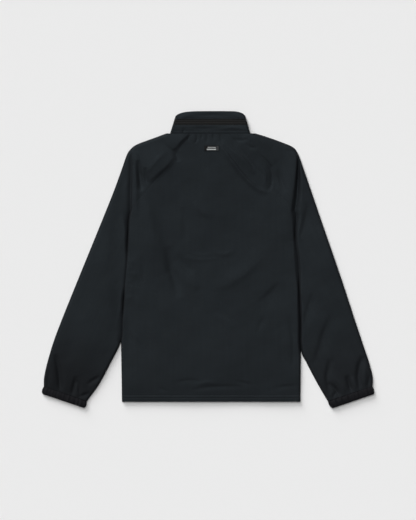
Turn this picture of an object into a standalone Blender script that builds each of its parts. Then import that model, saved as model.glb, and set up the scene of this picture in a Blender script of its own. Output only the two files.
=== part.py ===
"""A black windbreaker lying flat with its back up, as thin closed cloth walls, one object a cut piece.

The plan is drawn in millimetres: X to the wearer's right, Y towards the collar, Z up from the floor.
The upper cloth (back, sleeve backs, collar back) lies on the lower cloth (fronts, sleeve fronts).
"""
import math
from collections import namedtuple

import bmesh
import bpy
import numpy as np

# Driving sizes, in millimetres
MM = 0.001
CLOTH_WALL = 1.2
COLLAR_WALL = 2.2
CUFF_WALL = 1.8
SEAM_GAP = 0.3
SIDE_GAP = 0.5
CENTRE_X = 7.0
HEM_Y = -361.0
HEM_DEPTH = 14.0
HEM_RISE = 0.5
HEM_STITCH_Y = HEM_Y + 10.0
NECK_Y = 322.5
FRONT_NECK_Y = 262.0
COLLAR_BASE_Y = NECK_Y + SEAM_GAP
COLLAR_FRONT_Y = FRONT_NECK_Y + 2 * SEAM_GAP
REST_HEIGHT = 6.2
EDGE_HEIGHT = 2.0
WELD_DISTANCE = 0.001
LOWEST_TOP = 2 * CLOTH_WALL + 2 * SEAM_GAP
OUTER_ROLL = 8.0
LOWER_ROLL = 2.4
SEAM_DIP = 0.5

# Sleeve sections from the neck to the cuff seam: the seam on the back, the seam on the front, the outer edge
Section = namedtuple("Section", "back_x back_y front_x front_y outer_x outer_y")
UNDERARM_ROW = 6
PARTING_ROW = 11
STEPS = 2
UNDERARM_CLOSING = 0.8
UNDERARM = UNDERARM_ROW * STEPS + 1
PARTING = PARTING_ROW * STEPS + 1
LEFT_SLEEVE = (
    Section(-38.0, 322.5, -70.0, 290.0, -101.0, 322.8),
    Section(-58.0, 302.0, -84.0, 270.0, -135.0, 312.0),
    Section(-78.0, 277.0, -99.0, 247.0, -170.0, 299.0),
    Section(-97.0, 243.0, -116.0, 219.0, -196.0, 284.5),
    Section(-128.0, 209.0, -140.0, 192.0, -207.0, 268.0),
    Section(-163.0, 170.0, -168.0, 161.0, -219.0, 234.0),
    Section(-197.5, 124.0, -197.5, 124.0, -240.0, 176.0),
    Section(-204.0, 60.0, -204.0, 60.0, -268.0, 106.0),
    Section(-206.5, -5.0, -206.5, -5.0, -301.0, 25.0),
    Section(-213.0, -80.0, -213.0, -80.0, -338.5, -67.0),
    Section(-218.0, -155.0, -218.0, -155.0, -371.5, -149.0),
    Section(-221.5, -207.0, -221.5, -207.0, -393.0, -206.0),
    Section(-248.0, -262.0, -248.0, -262.0, -409.0, -259.0),
    Section(-278.5, -318.5, -278.5, -318.5, -417.5, -297.0),
    Section(-309.5, -361.0, -309.5, -361.0, -418.5, -322.0),
)
RIGHT_SLEEVE = (
    Section(52.0, 322.5, 84.0, 290.0, 115.5, 322.8),
    Section(70.0, 302.0, 97.0, 270.0, 148.0, 314.5),
    Section(91.0, 276.0, 112.0, 248.0, 186.0, 301.0),
    Section(117.0, 244.0, 131.0, 222.0, 217.5, 287.0),
    Section(147.0, 209.0, 154.0, 194.0, 230.5, 268.5),
    Section(181.0, 168.0, 184.0, 161.0, 243.0, 234.5),
    Section(221.0, 124.0, 221.0, 124.0, 263.0, 176.5),
    Section(221.5, 60.0, 221.5, 60.0, 287.0, 106.0),
    Section(229.0, -5.0, 229.0, -5.0, 315.5, 24.0),
    Section(232.0, -80.0, 232.0, -80.0, 346.5, -67.0),
    Section(235.0, -155.0, 235.0, -155.0, 373.5, -150.0),
    Section(236.5, -228.0, 236.5, -228.0, 399.5, -228.0),
    Section(254.0, -264.0, 254.0, -264.0, 411.5, -264.0),
    Section(284.0, -320.0, 284.0, -320.0, 420.0, -300.0),
    Section(306.0, -361.0, 306.0, -361.0, 419.2, -321.5),
)

# The crease between sleeve and body above the underarm, and the body's side below the place where they part
Point = namedtuple("Point", "x y")
LEFT_CREASE_TOP = (Point(-196.5, 276.0), Point(-195.5, 230.0), Point(-196.5, 172.0))
RIGHT_CREASE_TOP = (Point(230.0, 279.0), Point(229.8, 232.0), Point(227.0, 172.0))
LEFT_SIDE_END = (
    Point(-220.5, -265.0), Point(-219.7, -312.0), Point(-219.3, HEM_Y + HEM_DEPTH), Point(-219.0, HEM_Y))
RIGHT_SIDE_END = (
    Point(236.0, -270.0), Point(235.5, -312.0), Point(235.2, HEM_Y + HEM_DEPTH), Point(235.0, HEM_Y))
CreaseRow = namedtuple("CreaseRow", "y depth sleeve_reach body_reach")
LEFT_CREASES = (
    CreaseRow(286.0, 0.00, 7.0, 7.0),
    CreaseRow(262.0, 0.25, 7.0, 7.0),
    CreaseRow(200.0, 0.40, 8.0, 7.0),
    CreaseRow(124.0, 0.90, 22.0, 7.0),
    CreaseRow(60.0, 1.00, 9.0, 7.0),
    CreaseRow(-50.0, 1.00, 6.5, 6.5),
    CreaseRow(-150.0, 1.00, 14.0, 6.5),
    CreaseRow(-207.0, 1.00, 7.0, 6.5),
)
RIGHT_CREASES = (
    CreaseRow(289.0, 0.00, 7.0, 7.0),
    CreaseRow(266.0, 0.70, 7.0, 7.0),
    CreaseRow(200.0, 0.80, 12.0, 7.0),
    CreaseRow(124.0, 1.00, 16.0, 9.0),
    CreaseRow(64.0, 1.00, 9.0, 7.0),
    CreaseRow(-10.0, 1.00, 9.0, 8.0),
    CreaseRow(-228.0, 1.00, 6.5, 6.5),
)

# Cuff bands, elastic in a casing: the sleeve seam, the fullest line and the free edge
CuffLine = namedtuple("CuffLine", "inner_x inner_y outer_x outer_y height")
LEFT_CUFF = (
    CuffLine(-309.8, -361.9, -418.8, -322.9, 6.4),
    CuffLine(-309.4, -367.2, -422.4, -329.6, 7.2),
    CuffLine(-311.6, -373.2, -423.4, -337.2, 7.0),
    CuffLine(-315.8, -377.0, -421.4, -341.6, 6.2),
)
RIGHT_CUFF = (
    CuffLine(306.3, -361.9, 419.5, -322.4, 6.4),
    CuffLine(307.6, -367.6, 422.6, -329.2, 7.2),
    CuffLine(311.4, -373.4, 423.6, -337.0, 7.0),
    CuffLine(316.8, -377.6, 422.2, -341.8, 6.2),
)
CUFF_RIPPLES = 9
CUFF_RIPPLE_DRIFT = 0.18
CUFF_RIPPLE_HEIGHT = 0.5
CUFF_JOIN_HEIGHT = 6.0
CUFF_REACH = 11.0
CUFF_DRAW = 0.75

# Collar sections along its neck edge: first on the lower layer from centre front, then over the back
CollarLine = namedtuple("CollarLine", "base_x base_y top_x top_y")
LEFT_COLLAR_FRONT = (
    CollarLine(1.0, COLLAR_FRONT_Y, 1.0, 320.0),
    CollarLine(-34.0, 276.4, -30.0, 331.0),
    CollarLine(-69.6, 290.6, -58.0, 347.0),
    CollarLine(-84.0, 305.2, -72.0, 357.0),
)
COLLAR_BACK = (
    CollarLine(-92.0, COLLAR_BASE_Y, -76.8, 371.0),
    CollarLine(-84.0, COLLAR_BASE_Y, -70.0, 373.8),
    CollarLine(-68.0, COLLAR_BASE_Y, -57.0, 377.0),
    CollarLine(-40.0, COLLAR_BASE_Y, -34.0, 378.8),
    CollarLine(7.0, COLLAR_BASE_Y, 7.0, 379.2),
    CollarLine(54.0, COLLAR_BASE_Y, 47.0, 379.2),
    CollarLine(82.0, COLLAR_BASE_Y, 70.0, 378.5),
    CollarLine(96.0, COLLAR_BASE_Y, 82.6, 375.6),
    CollarLine(102.8, COLLAR_BASE_Y, 89.4, 372.6),
)
RIGHT_COLLAR_FRONT = (
    CollarLine(98.0, 305.2, 86.0, 357.0),
    CollarLine(83.6, 290.6, 72.0, 347.0),
    CollarLine(48.0, 276.4, 44.0, 331.0),
    CollarLine(13.0, COLLAR_FRONT_Y, 13.0, 320.0),
)
LEFT_COLLAR_FOLD = CollarLine(-97.0, COLLAR_BASE_Y, -83.2, 365.5)
RIGHT_COLLAR_FOLD = CollarLine(107.9, COLLAR_BASE_Y, 95.4, 366.5)
COLLAR_HEIGHT = 8.0
COLLAR_PUFF = 0.4
COLLAR_TURNS = (-0.72, -0.4, 0.0, 0.4, 0.72)
COLLAR_FOLD_DEPTH = 0.8
COLLAR_TURN = 1.2
COLLAR_EDGE_HEIGHT = 0.6
HOOD_ZIP_LOW_Y = 344.3
HOOD_ZIP_HIGH_Y = 358.3
HOOD_ZIP_END_SHARE = 0.04
HOOD_ZIP_SINK = 0.5
HOOD_ZIP_WALL = 1.1

# Broad lofts of the upper cloth, and its main folds: the points that a fold passes, how far it reaches to the
# left and right of someone walking along it, and its height, which is negative in a trough
Loft = namedtuple("Loft", "x y reach_x reach_y height")
LOFTS = (
    Loft(7.0, 345.0, 280.0, 200.0, 2.6),
    Loft(7.0, -270.0, 260.0, 200.0, 1.6),
    Loft(7.0, -385.0, 400.0, 55.0, -3.2),
    Loft(-150.0, 20.0, 50.0, 130.0, 1.0),
    Loft(160.0, 20.0, 60.0, 90.0, 0.6),
    Loft(-290.0, -90.0, 75.0, 150.0, 2.4),
    Loft(300.0, -80.0, 75.0, 150.0, 2.0),
)
FOLD_TAPER = 0.75
FOLD_STEPS = 5
Fold = namedtuple("Fold", "path left right height")
SHOULDER_FOLDS = (
    Fold(((-48.0, 323.0), (-75.0, 298.0), (-90.0, 279.0)), 8.0, 30.0, 2.4),
    Fold(((-84.0, 268.0), (-106.0, 242.0), (-154.0, 200.0)), 9.0, 50.0, 2.6),
    Fold(((-184.0, 278.0), (-183.0, 215.0), (-184.0, 108.0)), 8.0, 9.0, 1.6),
    Fold(((-180.0, 254.0), (-175.0, 216.0), (-170.0, 176.0)), 8.0, 8.0, -2.4),
    Fold(((26.0, 300.0), (71.0, 241.0), (130.0, 181.0), (154.0, 172.0)), 8.0, 10.0, 1.6),
    Fold(((36.0, 306.0), (89.0, 260.0), (119.0, 218.0)), 8.0, 9.0, 1.4),
    Fold(((84.0, 308.0), (128.0, 272.0), (158.0, 236.0)), 40.0, 17.0, 1.3),
    Fold(((84.0, 322.0), (124.0, 308.0), (164.0, 288.0)), 9.0, 14.0, 1.1),
    Fold(((124.0, 276.0), (159.0, 236.0), (163.0, 214.0), (150.0, 173.0)), 8.0, 8.0, -1.5),
    Fold(((222.0, 276.0), (218.0, 200.0), (211.0, 124.0), (216.0, 50.0)), 10.0, 24.0, 2.6),
)
BODY_FOLDS = (
    Fold(((-168.0, 186.0), (-152.0, 110.0), (-134.0, 40.0), (-104.0, -30.0)), 20.0, 40.0, 2.4),
    Fold(((-104.0, 34.0), (-97.0, -16.0), (-85.0, -52.0), (-76.0, -96.0)), 16.0, 9.0, -2.3),
    Fold(((-90.0, -12.0), (-60.0, -46.0), (-20.0, -72.0)), 16.0, 14.0, 1.2),
    Fold(((-6.0, -74.0), (76.0, -46.0), (140.0, 14.0)), 20.0, 11.0, 1.0),
    Fold(((184.0, -56.0), (156.0, -86.0), (124.0, -116.0)), 24.0, 9.0, -1.0),
    Fold(((206.0, -140.0), (216.0, -200.0), (216.0, -276.0)), 9.0, 8.0, -1.0),
    Fold(((-46.0, -333.0), (-10.0, -325.0), (92.0, -322.0)), 8.0, 9.0, -0.9),
)
SLEEVE_FOLDS = (
    Fold(((-222.0, 236.0), (-216.0, 170.0), (-214.0, 96.0)), 8.0, 16.0, -1.3),
    Fold(((-252.0, 130.0), (-256.0, 60.0), (-262.0, -40.0)), 16.0, 26.0, 1.3),
    Fold(((256.0, 148.0), (248.0, 104.0), (236.0, 54.0)), 14.0, 8.0, -1.2),
    Fold(((270.0, -80.0), (251.0, -136.0), (240.0, -190.0)), 16.0, 8.0, -1.2),
    Fold(((317.0, -138.0), (297.0, -182.0), (270.0, -268.0)), 20.0, 9.0, -1.6),
)
CUFF_FOLDS = (
    Fold(((311.0, -252.0), (303.0, -298.0), (310.0, -344.0)), 9.0, 8.0, -1.9),
    Fold(((306.0, -312.0), (328.0, -334.0), (338.0, -362.0)), 7.0, 7.0, -2.2),
    Fold(((353.0, -294.0), (360.0, -318.0), (371.0, -350.0)), 7.0, 7.0, -2.4),
    Fold(((395.0, -244.0), (385.0, -274.0), (389.0, -342.0)), 8.0, 7.0, -2.4),
    Fold(((-388.0, -240.0), (-380.0, -294.0), (-377.0, -346.0)), 8.0, 7.0, -2.8),
    Fold(((-336.0, -296.0), (-342.0, -324.0), (-348.0, -356.0)), 7.0, 7.0, -2.4),
    Fold(((-346.0, -356.0), (-320.0, -346.0), (-300.0, -338.0)), 7.0, 7.0, -1.8),
    Fold(((-308.0, -318.0), (-292.0, -306.0), (-274.0, -295.0)), 7.0, 7.0, -1.5),
)
FOLDS = SHOULDER_FOLDS + BODY_FOLDS + SLEEVE_FOLDS + CUFF_FOLDS

# Label on the back, front zip and slider
LABEL_CENTRE = Point(9.0, 284.4)
LABEL_SIZE = Point(38.0, 13.4)
LABEL_WALL = 1.0
LABEL_GAP = 0.4
FRONT_ZIP_WIDTH = 11.0
FRONT_ZIP_WALL = 0.9
FRONT_ZIP_RISE = 0.2
FRONT_ZIP_TOP = 304.0
SLIDER_SIZE = (8.6, 14.0, 3.4)
SLIDER_BEVEL = 0.9

# Grid counts
BODY_EDGE = (0.0, 0.7, 2.6, 6.5)
BODY_MIDDLE = 36
SLEEVE_EDGE = (0.0, 0.7, 2.6, 6.5)
SLEEVE_MIDDLE = 10
SLEEVE_UNDER_EDGE = (0.0, 0.7, 2.4)
SLEEVE_UNDER_MIDDLE = 4
FRONT_COLUMNS = 5
CUFF_EDGE = (0.0, 0.12, 0.45, 1.0)
CUFF_MIDDLE = 22
CUFF_UNDER_MIDDLE = 4
COLLAR_ROWS = 3
LABEL_COLUMNS = 6
FRONT_ZIP_ROWS = 8

# Finishes, in linear colour
Finish = namedtuple("Finish", "colour roughness metallic")
SHELL_CLOTH = Finish((0.016, 0.020, 0.023), 0.62, 0.0)
CUFF_CLOTH = Finish((0.013, 0.014, 0.016), 0.68, 0.0)
ZIP_TAPE = Finish((0.014, 0.014, 0.014), 0.75, 0.0)
LABEL_WEAVE = Finish((0.010, 0.010, 0.011), 0.70, 0.0)
ZIP_METAL = Finish((0.020, 0.020, 0.021), 0.35, 0.8)


def spline(rows, steps):
    """Points of a smooth curve through the rows, with a number of steps from each row to the next."""
    rows = np.array(rows, dtype=float)
    ends = np.vstack((2 * rows[0] - rows[1], rows, 2 * rows[-1] - rows[-2]))
    out = []
    for first in range(len(rows) - 1):
        before, start, end, after = ends[first:first + 4]
        for step in range(steps):
            t = step / steps
            curve = 2 * start + (end - before) * t
            curve = curve + (2 * before - 5 * start + 4 * end - after) * t ** 2
            curve = curve + (3 * start - before - 3 * end + after) * t ** 3
            out.append(curve / 2)
    out.append(rows[-1])
    return np.array(out)


def nearest(points, line):
    """Distance from points to a line, the share of the line where it is met, and the side (left is +1)."""
    best = np.full(len(points), np.inf)
    along = np.zeros(len(points))
    side = np.ones(len(points))
    for index in range(len(line) - 1):
        run = line[index + 1] - line[index]
        away = points - line[index]
        share = np.clip((away @ run) / (run @ run), 0, 1)
        apart = np.linalg.norm(away - share[:, None] * run, axis=1)
        closer = apart < best
        best = np.where(closer, apart, best)
        along = np.where(closer, (index + share) / (len(line) - 1), along)
        side = np.where(closer, np.sign(run[0] * away[:, 1] - run[1] * away[:, 0]), side)
    return best, along, side


def roll(distance, radius):
    """Rounded edge: 0 at the edge itself, 1 from the radius inwards."""
    left = 1 - np.clip(distance / radius, 0, 1)
    return np.sqrt(1 - left ** 2)


def lofted(points):
    """Height that lofts and folds give the upper cloth at points of the plan."""
    height = np.full(len(points), REST_HEIGHT)
    for loft in LOFTS:
        away = ((points[:, 0] - loft.x) / loft.reach_x) ** 2 + ((points[:, 1] - loft.y) / loft.reach_y) ** 2
        height = height + loft.height * np.exp(-away)
    for fold in FOLDS:
        apart, along, side = nearest(points, spline(fold.path, FOLD_STEPS))
        reach = np.where(side > 0, fold.left, fold.right)
        taper = np.sin(math.pi * along) ** FOLD_TAPER
        height = height + fold.height * taper * np.exp(-(apart / reach) ** 2)
    return np.maximum(height, LOWEST_TOP)


def pressed(points, height, line, depth, reach):
    """Lower the cloth to its edge height where it rolls down to a line."""
    apart, _, _ = nearest(points, line)
    return EDGE_HEIGHT + (height - EDGE_HEIGHT) * (1 - depth * (1 - roll(apart, reach)))


class Side:
    """The seam, crease and edge lines of one side of the jacket."""

    def __init__(self, sections, crease_top, side_end, creases, inward):
        grid = spline(sections, STEPS)
        last_open = UNDERARM_ROW * STEPS - 1
        closing = grid[last_open] + UNDERARM_CLOSING * (grid[last_open + 1] - grid[last_open])
        grid = np.insert(grid, last_open + 1, closing, axis=0)
        grid[0, 5] = NECK_Y - SEAM_GAP / 2
        self.back, self.front, self.outer = grid[:, 0:2], grid[:, 2:4], grid[:, 4:6]
        self.inward = np.array((inward, 0.0))
        below = self.back[UNDERARM:]
        end = np.array(side_end)
        crease = np.array(crease_top)
        self.body_edge = np.vstack((below[:PARTING - UNDERARM + 1], end))
        self.sleeve_crease = np.vstack((crease, below - self.inward * SIDE_GAP / 2))
        self.body_crease = np.vstack((crease, self.body_edge + self.inward * SIDE_GAP / 2))
        self.creases = sorted(creases)

    def crease_value(self, points, column):
        heights = [row.y for row in self.creases]
        values = [getattr(row, column) for row in self.creases]
        return np.interp(points[:, 1], heights, values)

    def creased(self, points, height, line):
        """Lower the cloth to a valley along the crease, as wide as the table says on each side of it."""
        _, _, hand = nearest(points, line)
        on_body = hand * self.inward[0] > 0
        body_reach, sleeve_reach, depth = (self.crease_value(points, column)
                                           for column in ("body_reach", "sleeve_reach", "depth"))
        return pressed(points, height, line, depth, np.where(on_body, body_reach, sleeve_reach))

    def seam(self, line, gap):
        """The raglan seam line from neck to underarm, moved towards the body (or away, if negative)."""
        seam = line[:UNDERARM + 1]
        run = np.gradient(seam, axis=0)
        square = np.stack((-run[:, 1], run[:, 0]), axis=1)
        square = square / np.linalg.norm(square, axis=1)[:, None]
        square = square * np.sign(square @ self.inward)[:, None]
        moved = seam + square * gap
        if line is self.back:
            moved[0, 1] = NECK_Y - SEAM_GAP / 2
        return moved


LEFT = Side(LEFT_SLEEVE, LEFT_CREASE_TOP, LEFT_SIDE_END, LEFT_CREASES, 1.0)
RIGHT = Side(RIGHT_SLEEVE, RIGHT_CREASE_TOP, RIGHT_SIDE_END, RIGHT_CREASES, -1.0)


def back_height(points):
    """Outer face of the back panel over points of the plan."""
    height = lofted(points)
    height = height + HEM_RISE * (points[:, 1] < HEM_STITCH_Y)
    for side in (LEFT, RIGHT):
        height = side.creased(points, height, side.body_crease)
    return height


def sleeve_height(points, side):
    """Outer face of a sleeve's back over points of the plan, drawn in towards the cuff."""
    height = side.creased(points, lofted(points), side.sleeve_crease)
    apart, _, _ = nearest(points, np.array((side.back[-1], side.outer[-1])))
    height = height + CUFF_DRAW * np.exp(-(apart / CUFF_REACH) ** 2) * (CUFF_JOIN_HEIGHT - height)
    return pressed(points, height, side.outer, 1.0, OUTER_ROLL)


def spread(width, edge, middle):
    """Distances across a width: close at both edges, even between."""
    edge = np.array(edge)
    inside = np.linspace(edge[-1], width - edge[-1], middle + 2)[1:-1]
    return np.concatenate((edge, inside, width - edge[::-1]))


def across(start, end, distances):
    """Points of the plan at the given distances from start towards end."""
    run = end - start
    return start + distances[:, None] * run / np.linalg.norm(run)


def with_height(points, height):
    return np.column_stack((points, np.broadcast_to(height, len(points))))


def finish_material(name, finish):
    material = bpy.data.materials.new(name)
    material.use_nodes = True
    shader = material.node_tree.nodes["Principled BSDF"]
    shader.inputs["Base Color"].default_value = (*finish.colour, 1.0)
    shader.inputs["Roughness"].default_value = finish.roughness
    shader.inputs["Metallic"].default_value = finish.metallic
    return material


def clear_scene():
    for thing in list(bpy.data.objects):
        bpy.data.objects.remove(thing, do_unlink=True)


def add_object(name, mesh, finish, parent, collection):
    mesh.materials.append(finish_material(name + "_finish", finish))
    thing = bpy.data.objects.new(name, mesh)
    thing.parent = parent
    collection.objects.link(thing)
    return thing


def add_cloth(name, rows, wall, finish, parent, collection, flip=False):
    """A cloth wall: a grid laid on the rows of points, its meeting edges joined, thickened inwards."""
    rows = np.array(rows)
    shape = bmesh.new()
    bmesh.ops.create_grid(shape, x_segments=rows.shape[1] - 1, y_segments=rows.shape[0] - 1, size=1)
    for vertex, place in zip(shape.verts, rows.reshape(-1, 3)):
        vertex.co = place * MM
    bmesh.ops.remove_doubles(shape, verts=shape.verts, dist=WELD_DISTANCE * MM)
    if flip:
        bmesh.ops.reverse_faces(shape, faces=shape.faces)
    mesh = bpy.data.meshes.new(name)
    shape.to_mesh(mesh)
    shape.free()
    mesh.shade_smooth()
    thing = add_object(name, mesh, finish, parent, collection)
    thickness = thing.modifiers.new("cloth wall", "SOLIDIFY")
    thickness.thickness = wall * MM
    thickness.offset = -1
    thickness.use_quality_normals = True
    return thing


def body_lines(line_name):
    """Pairs of plan points, left and right, down the body from the neck to the hem."""
    ends = []
    for side in (LEFT, RIGHT):
        seam = side.seam(getattr(side, line_name), SEAM_GAP / 2)
        crease = side.body_edge[:PARTING - UNDERARM + 1] + side.inward * SIDE_GAP / 2
        tail = spline(side.body_edge[PARTING - UNDERARM:], STEPS) + side.inward * SIDE_GAP / 2
        ends.append(np.vstack((seam[:-1], crease, tail[1:])))
    return ends


def halved(line, first, last):
    """The line with the middle of each step from first to last put in."""
    out = list(line[:first])
    for index in range(first, last):
        out.append(line[index])
        out.append((line[index] + line[index + 1]) / 2)
    out.extend(line[last:])
    return np.array(out)


def make_back(parent, collection):
    left, right = body_lines("back")
    left = halved(left, UNDERARM, PARTING)
    right = halved(right, UNDERARM, PARTING)
    rows = []
    for index, (start, end) in enumerate(zip(left, right)):
        points = across(start, end, spread(np.linalg.norm(end - start), BODY_EDGE, BODY_MIDDLE))
        height = back_height(points)
        if index < UNDERARM:
            height[[0, -1]] -= SEAM_DIP
        rows.append(with_height(points, height))
    return add_cloth("back_panel", rows, CLOTH_WALL, SHELL_CLOTH, parent, collection, flip=True)


def make_front(name, lines, edge_x, parent, collection, flip):
    """A front, flat on the floor, from the zip's edge out to the side."""
    rows = []
    for index, outer in enumerate(lines):
        if index <= UNDERARM:
            share = index / UNDERARM
            inner = np.array((edge_x, FRONT_NECK_Y + share * (lines[UNDERARM][1] - FRONT_NECK_Y)))
        else:
            inner = np.array((edge_x, outer[1]))
        share = np.linspace(0, 1, FRONT_COLUMNS + 1)[:, None]
        rows.append(with_height((inner * (1 - share) + outer * share), 0.0))
    return add_cloth(name, rows, CLOTH_WALL, SHELL_CLOTH, parent, collection, flip=flip)


def make_sleeve(name, side, parent, collection, flip):
    """A sleeve: one cloth, open at the raglan seams and the cuff, joined under the arm."""
    back = side.back.copy()
    back[:UNDERARM] = side.seam(side.back, -SEAM_GAP / 2)[:-1]
    back[UNDERARM:] = back[UNDERARM:] - side.inward * SIDE_GAP / 2
    front = side.front.copy()
    front[:UNDERARM] = side.seam(side.front, -SEAM_GAP / 2)[:-1]
    front[UNDERARM:] = back[UNDERARM:]
    front[0] = side.front[0] - side.inward * SEAM_GAP
    rows = []
    for index, outer in enumerate(side.outer):
        width = np.linalg.norm(outer - back[index])
        upper = across(back[index], outer, spread(width, SLEEVE_EDGE, SLEEVE_MIDDLE))
        upper_z = sleeve_height(upper, side)
        width = np.linalg.norm(outer - front[index])
        distances = spread(width, SLEEVE_UNDER_EDGE, SLEEVE_UNDER_MIDDLE)
        under = across(outer, front[index], distances)
        under_z = EDGE_HEIGHT * (1 - roll(distances, LOWER_ROLL))
        if index >= UNDERARM:
            under_z = under_z + EDGE_HEIGHT * (1 - roll(width - distances, LOWER_ROLL))
        else:
            upper_z[0] -= SEAM_DIP
        ring = np.vstack((with_height(upper, upper_z), with_height(under, under_z)[1:]))
        rows.append(ring)
    return add_cloth(name, rows, CLOTH_WALL, SHELL_CLOTH, parent, collection, flip=flip)


def make_cuff(name, lines, parent, collection, flip):
    """An elastic cuff: a flattened ring, rippled on its upper side, flat on its lower side."""
    rows = []
    for line in lines:
        inner = np.array((line.inner_x, line.inner_y))
        outer = np.array((line.outer_x, line.outer_y))
        width = np.linalg.norm(outer - inner)
        edge = line.height / 2
        edge_distances = edge * np.array(CUFF_EDGE)
        distances = spread(width, edge_distances, CUFF_MIDDLE)
        share = distances / width
        drift = CUFF_RIPPLE_DRIFT * np.sin(4 * math.pi * share)
        ripple = np.cos(2 * math.pi * (CUFF_RIPPLES * share + drift))
        edges = roll(np.minimum(distances, width - distances), edge)
        top = line.height / 2 + (line.height / 2 + CUFF_RIPPLE_HEIGHT * ripple) * edges
        upper = with_height(across(inner, outer, distances), top)
        under_distances = spread(width, edge_distances, CUFF_UNDER_MIDDLE)
        under_edges = roll(np.minimum(under_distances, width - under_distances), edge)
        under = with_height(across(outer, inner, under_distances), line.height / 2 * (1 - under_edges))
        rows.append(np.vstack((upper, under[1:])))
    return add_cloth(name, rows, CUFF_WALL, CUFF_CLOTH, parent, collection, flip=flip)


def collar_path():
    """Stations round the collar: neck point, top point, turn from lower (-1) to upper (1), zip end or not."""
    stations = []

    def lay(lines, turn, zip_ends):
        for line in lines:
            stations.append(((line.base_x, line.base_y), (line.top_x, line.top_y), turn, line in zip_ends))

    def fold_over(fold, back, inward, turns):
        for turn in turns:
            shift = inward * COLLAR_HEIGHT * COLLAR_FOLD_DEPTH * (1 - math.cos(turn * math.pi / 2))
            rise = (back.top_y - fold.top_y) * math.sin(max(turn, 0.0) * math.pi / 2) ** 2
            base, top = (fold.base_x + shift, fold.base_y), (fold.top_x + shift, fold.top_y + rise)
            stations.append((base, top, turn, False))

    lay(LEFT_COLLAR_FRONT, -1.0, LEFT_COLLAR_FRONT[-1:])
    fold_over(LEFT_COLLAR_FOLD, COLLAR_BACK[0], 1.0, COLLAR_TURNS)
    lay(COLLAR_BACK, 1.0, ())
    fold_over(RIGHT_COLLAR_FOLD, COLLAR_BACK[-1], -1.0, COLLAR_TURNS[::-1])
    lay(RIGHT_COLLAR_FRONT, -1.0, RIGHT_COLLAR_FRONT[:1])
    return [(np.array(base), np.array(top), turn, zip_end) for base, top, turn, zip_end in stations]


def collar_slot(base, top, turn, zip_end):
    """Shares of the collar's height between which the hood zip lies: a plain seam on the fronts."""
    low = (HOOD_ZIP_LOW_Y - base[1]) / (top[1] - base[1])
    high = (HOOD_ZIP_HIGH_Y - base[1]) / (top[1] - base[1])
    if turn <= -1:
        half = HOOD_ZIP_END_SHARE if zip_end else 0.0
        low, high = 0.5 - half, 0.5 + half
    gap = SEAM_GAP / 2 / np.linalg.norm(top - base)
    return low, high, gap


def collar_point(base, top, turn, share, sink=0.0):
    """A point of the collar's outer face at a share of its height."""
    full = COLLAR_HEIGHT + COLLAR_PUFF * math.sin(math.pi * share)
    place = base + (top - base) * share
    height = full / 2 + (full / 2 - sink) * math.sin(turn * math.pi / 2)
    return (*place, height)


def turned_edge(base, top, turn, edge):
    """The collar's top edge: turned down at the back, over the hood stowed in it, and level at the front."""
    upward = (1 + math.sin(turn * math.pi / 2)) / 2
    place = np.array(edge[:2]) + COLLAR_TURN * (1 - upward) * (top - base) / np.linalg.norm(top - base)
    return (*place, edge[2] - upward * (edge[2] - COLLAR_EDGE_HEIGHT))


def make_collar(name, lower, parent, collection):
    """One band of the collar, from the neck seam to the hood zip or from the zip to the top edge."""
    rows = []
    for base, top, turn, zip_end in collar_path():
        low, high, gap = collar_slot(base, top, turn, zip_end)
        first, last = (0.0, low - gap) if lower else (high + gap, 1.0)
        shares = np.linspace(first, last, COLLAR_ROWS + 1)
        points = [collar_point(base, top, turn, share) for share in shares]
        if not lower:
            points.append(turned_edge(base, top, turn, points[-1]))
        rows.append(points)
    return add_cloth(name, rows, COLLAR_WALL, SHELL_CLOTH, parent, collection, flip=True)


def make_hood_zip(parent, collection):
    """The zip across the collar, a tape sunk a little between the two bands, ending past the side folds."""
    rows = []
    for base, top, turn, zip_end in collar_path():
        if turn <= -1 and not zip_end:
            continue
        low, high, gap = collar_slot(base, top, turn, zip_end)
        shares = np.linspace(low + gap, high - gap, 3)
        rows.append([collar_point(base, top, turn, share, HOOD_ZIP_SINK) for share in shares])
    return add_cloth("hood_zip", rows, HOOD_ZIP_WALL, ZIP_TAPE, parent, collection, flip=True)


def make_label(parent, collection):
    """A small woven label, lying on the back panel below the neck."""
    rows = []
    for y in (LABEL_CENTRE.y + LABEL_SIZE.y / 2, LABEL_CENTRE.y, LABEL_CENTRE.y - LABEL_SIZE.y / 2):
        x = np.linspace(-LABEL_SIZE.x / 2, LABEL_SIZE.x / 2, LABEL_COLUMNS + 1) + LABEL_CENTRE.x
        points = np.column_stack((x, np.full(len(x), y)))
        rows.append(with_height(points, back_height(points) + LABEL_GAP + LABEL_WALL))
    return add_cloth("back_label", rows, LABEL_WALL, LABEL_WEAVE, parent, collection, flip=True)


def make_front_zip(parent, collection):
    """The closed zip down the fronts, one flat strip between their edges."""
    rows = []
    for y in np.linspace(HEM_Y, FRONT_ZIP_TOP, FRONT_ZIP_ROWS + 1):
        x = CENTRE_X + np.array((-0.5, 0.0, 0.5)) * FRONT_ZIP_WIDTH
        rows.append(np.column_stack((x, np.full(3, y), np.full(3, FRONT_ZIP_RISE))))
    return add_cloth("front_zip", rows, FRONT_ZIP_WALL, ZIP_TAPE, parent, collection, flip=True)


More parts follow.
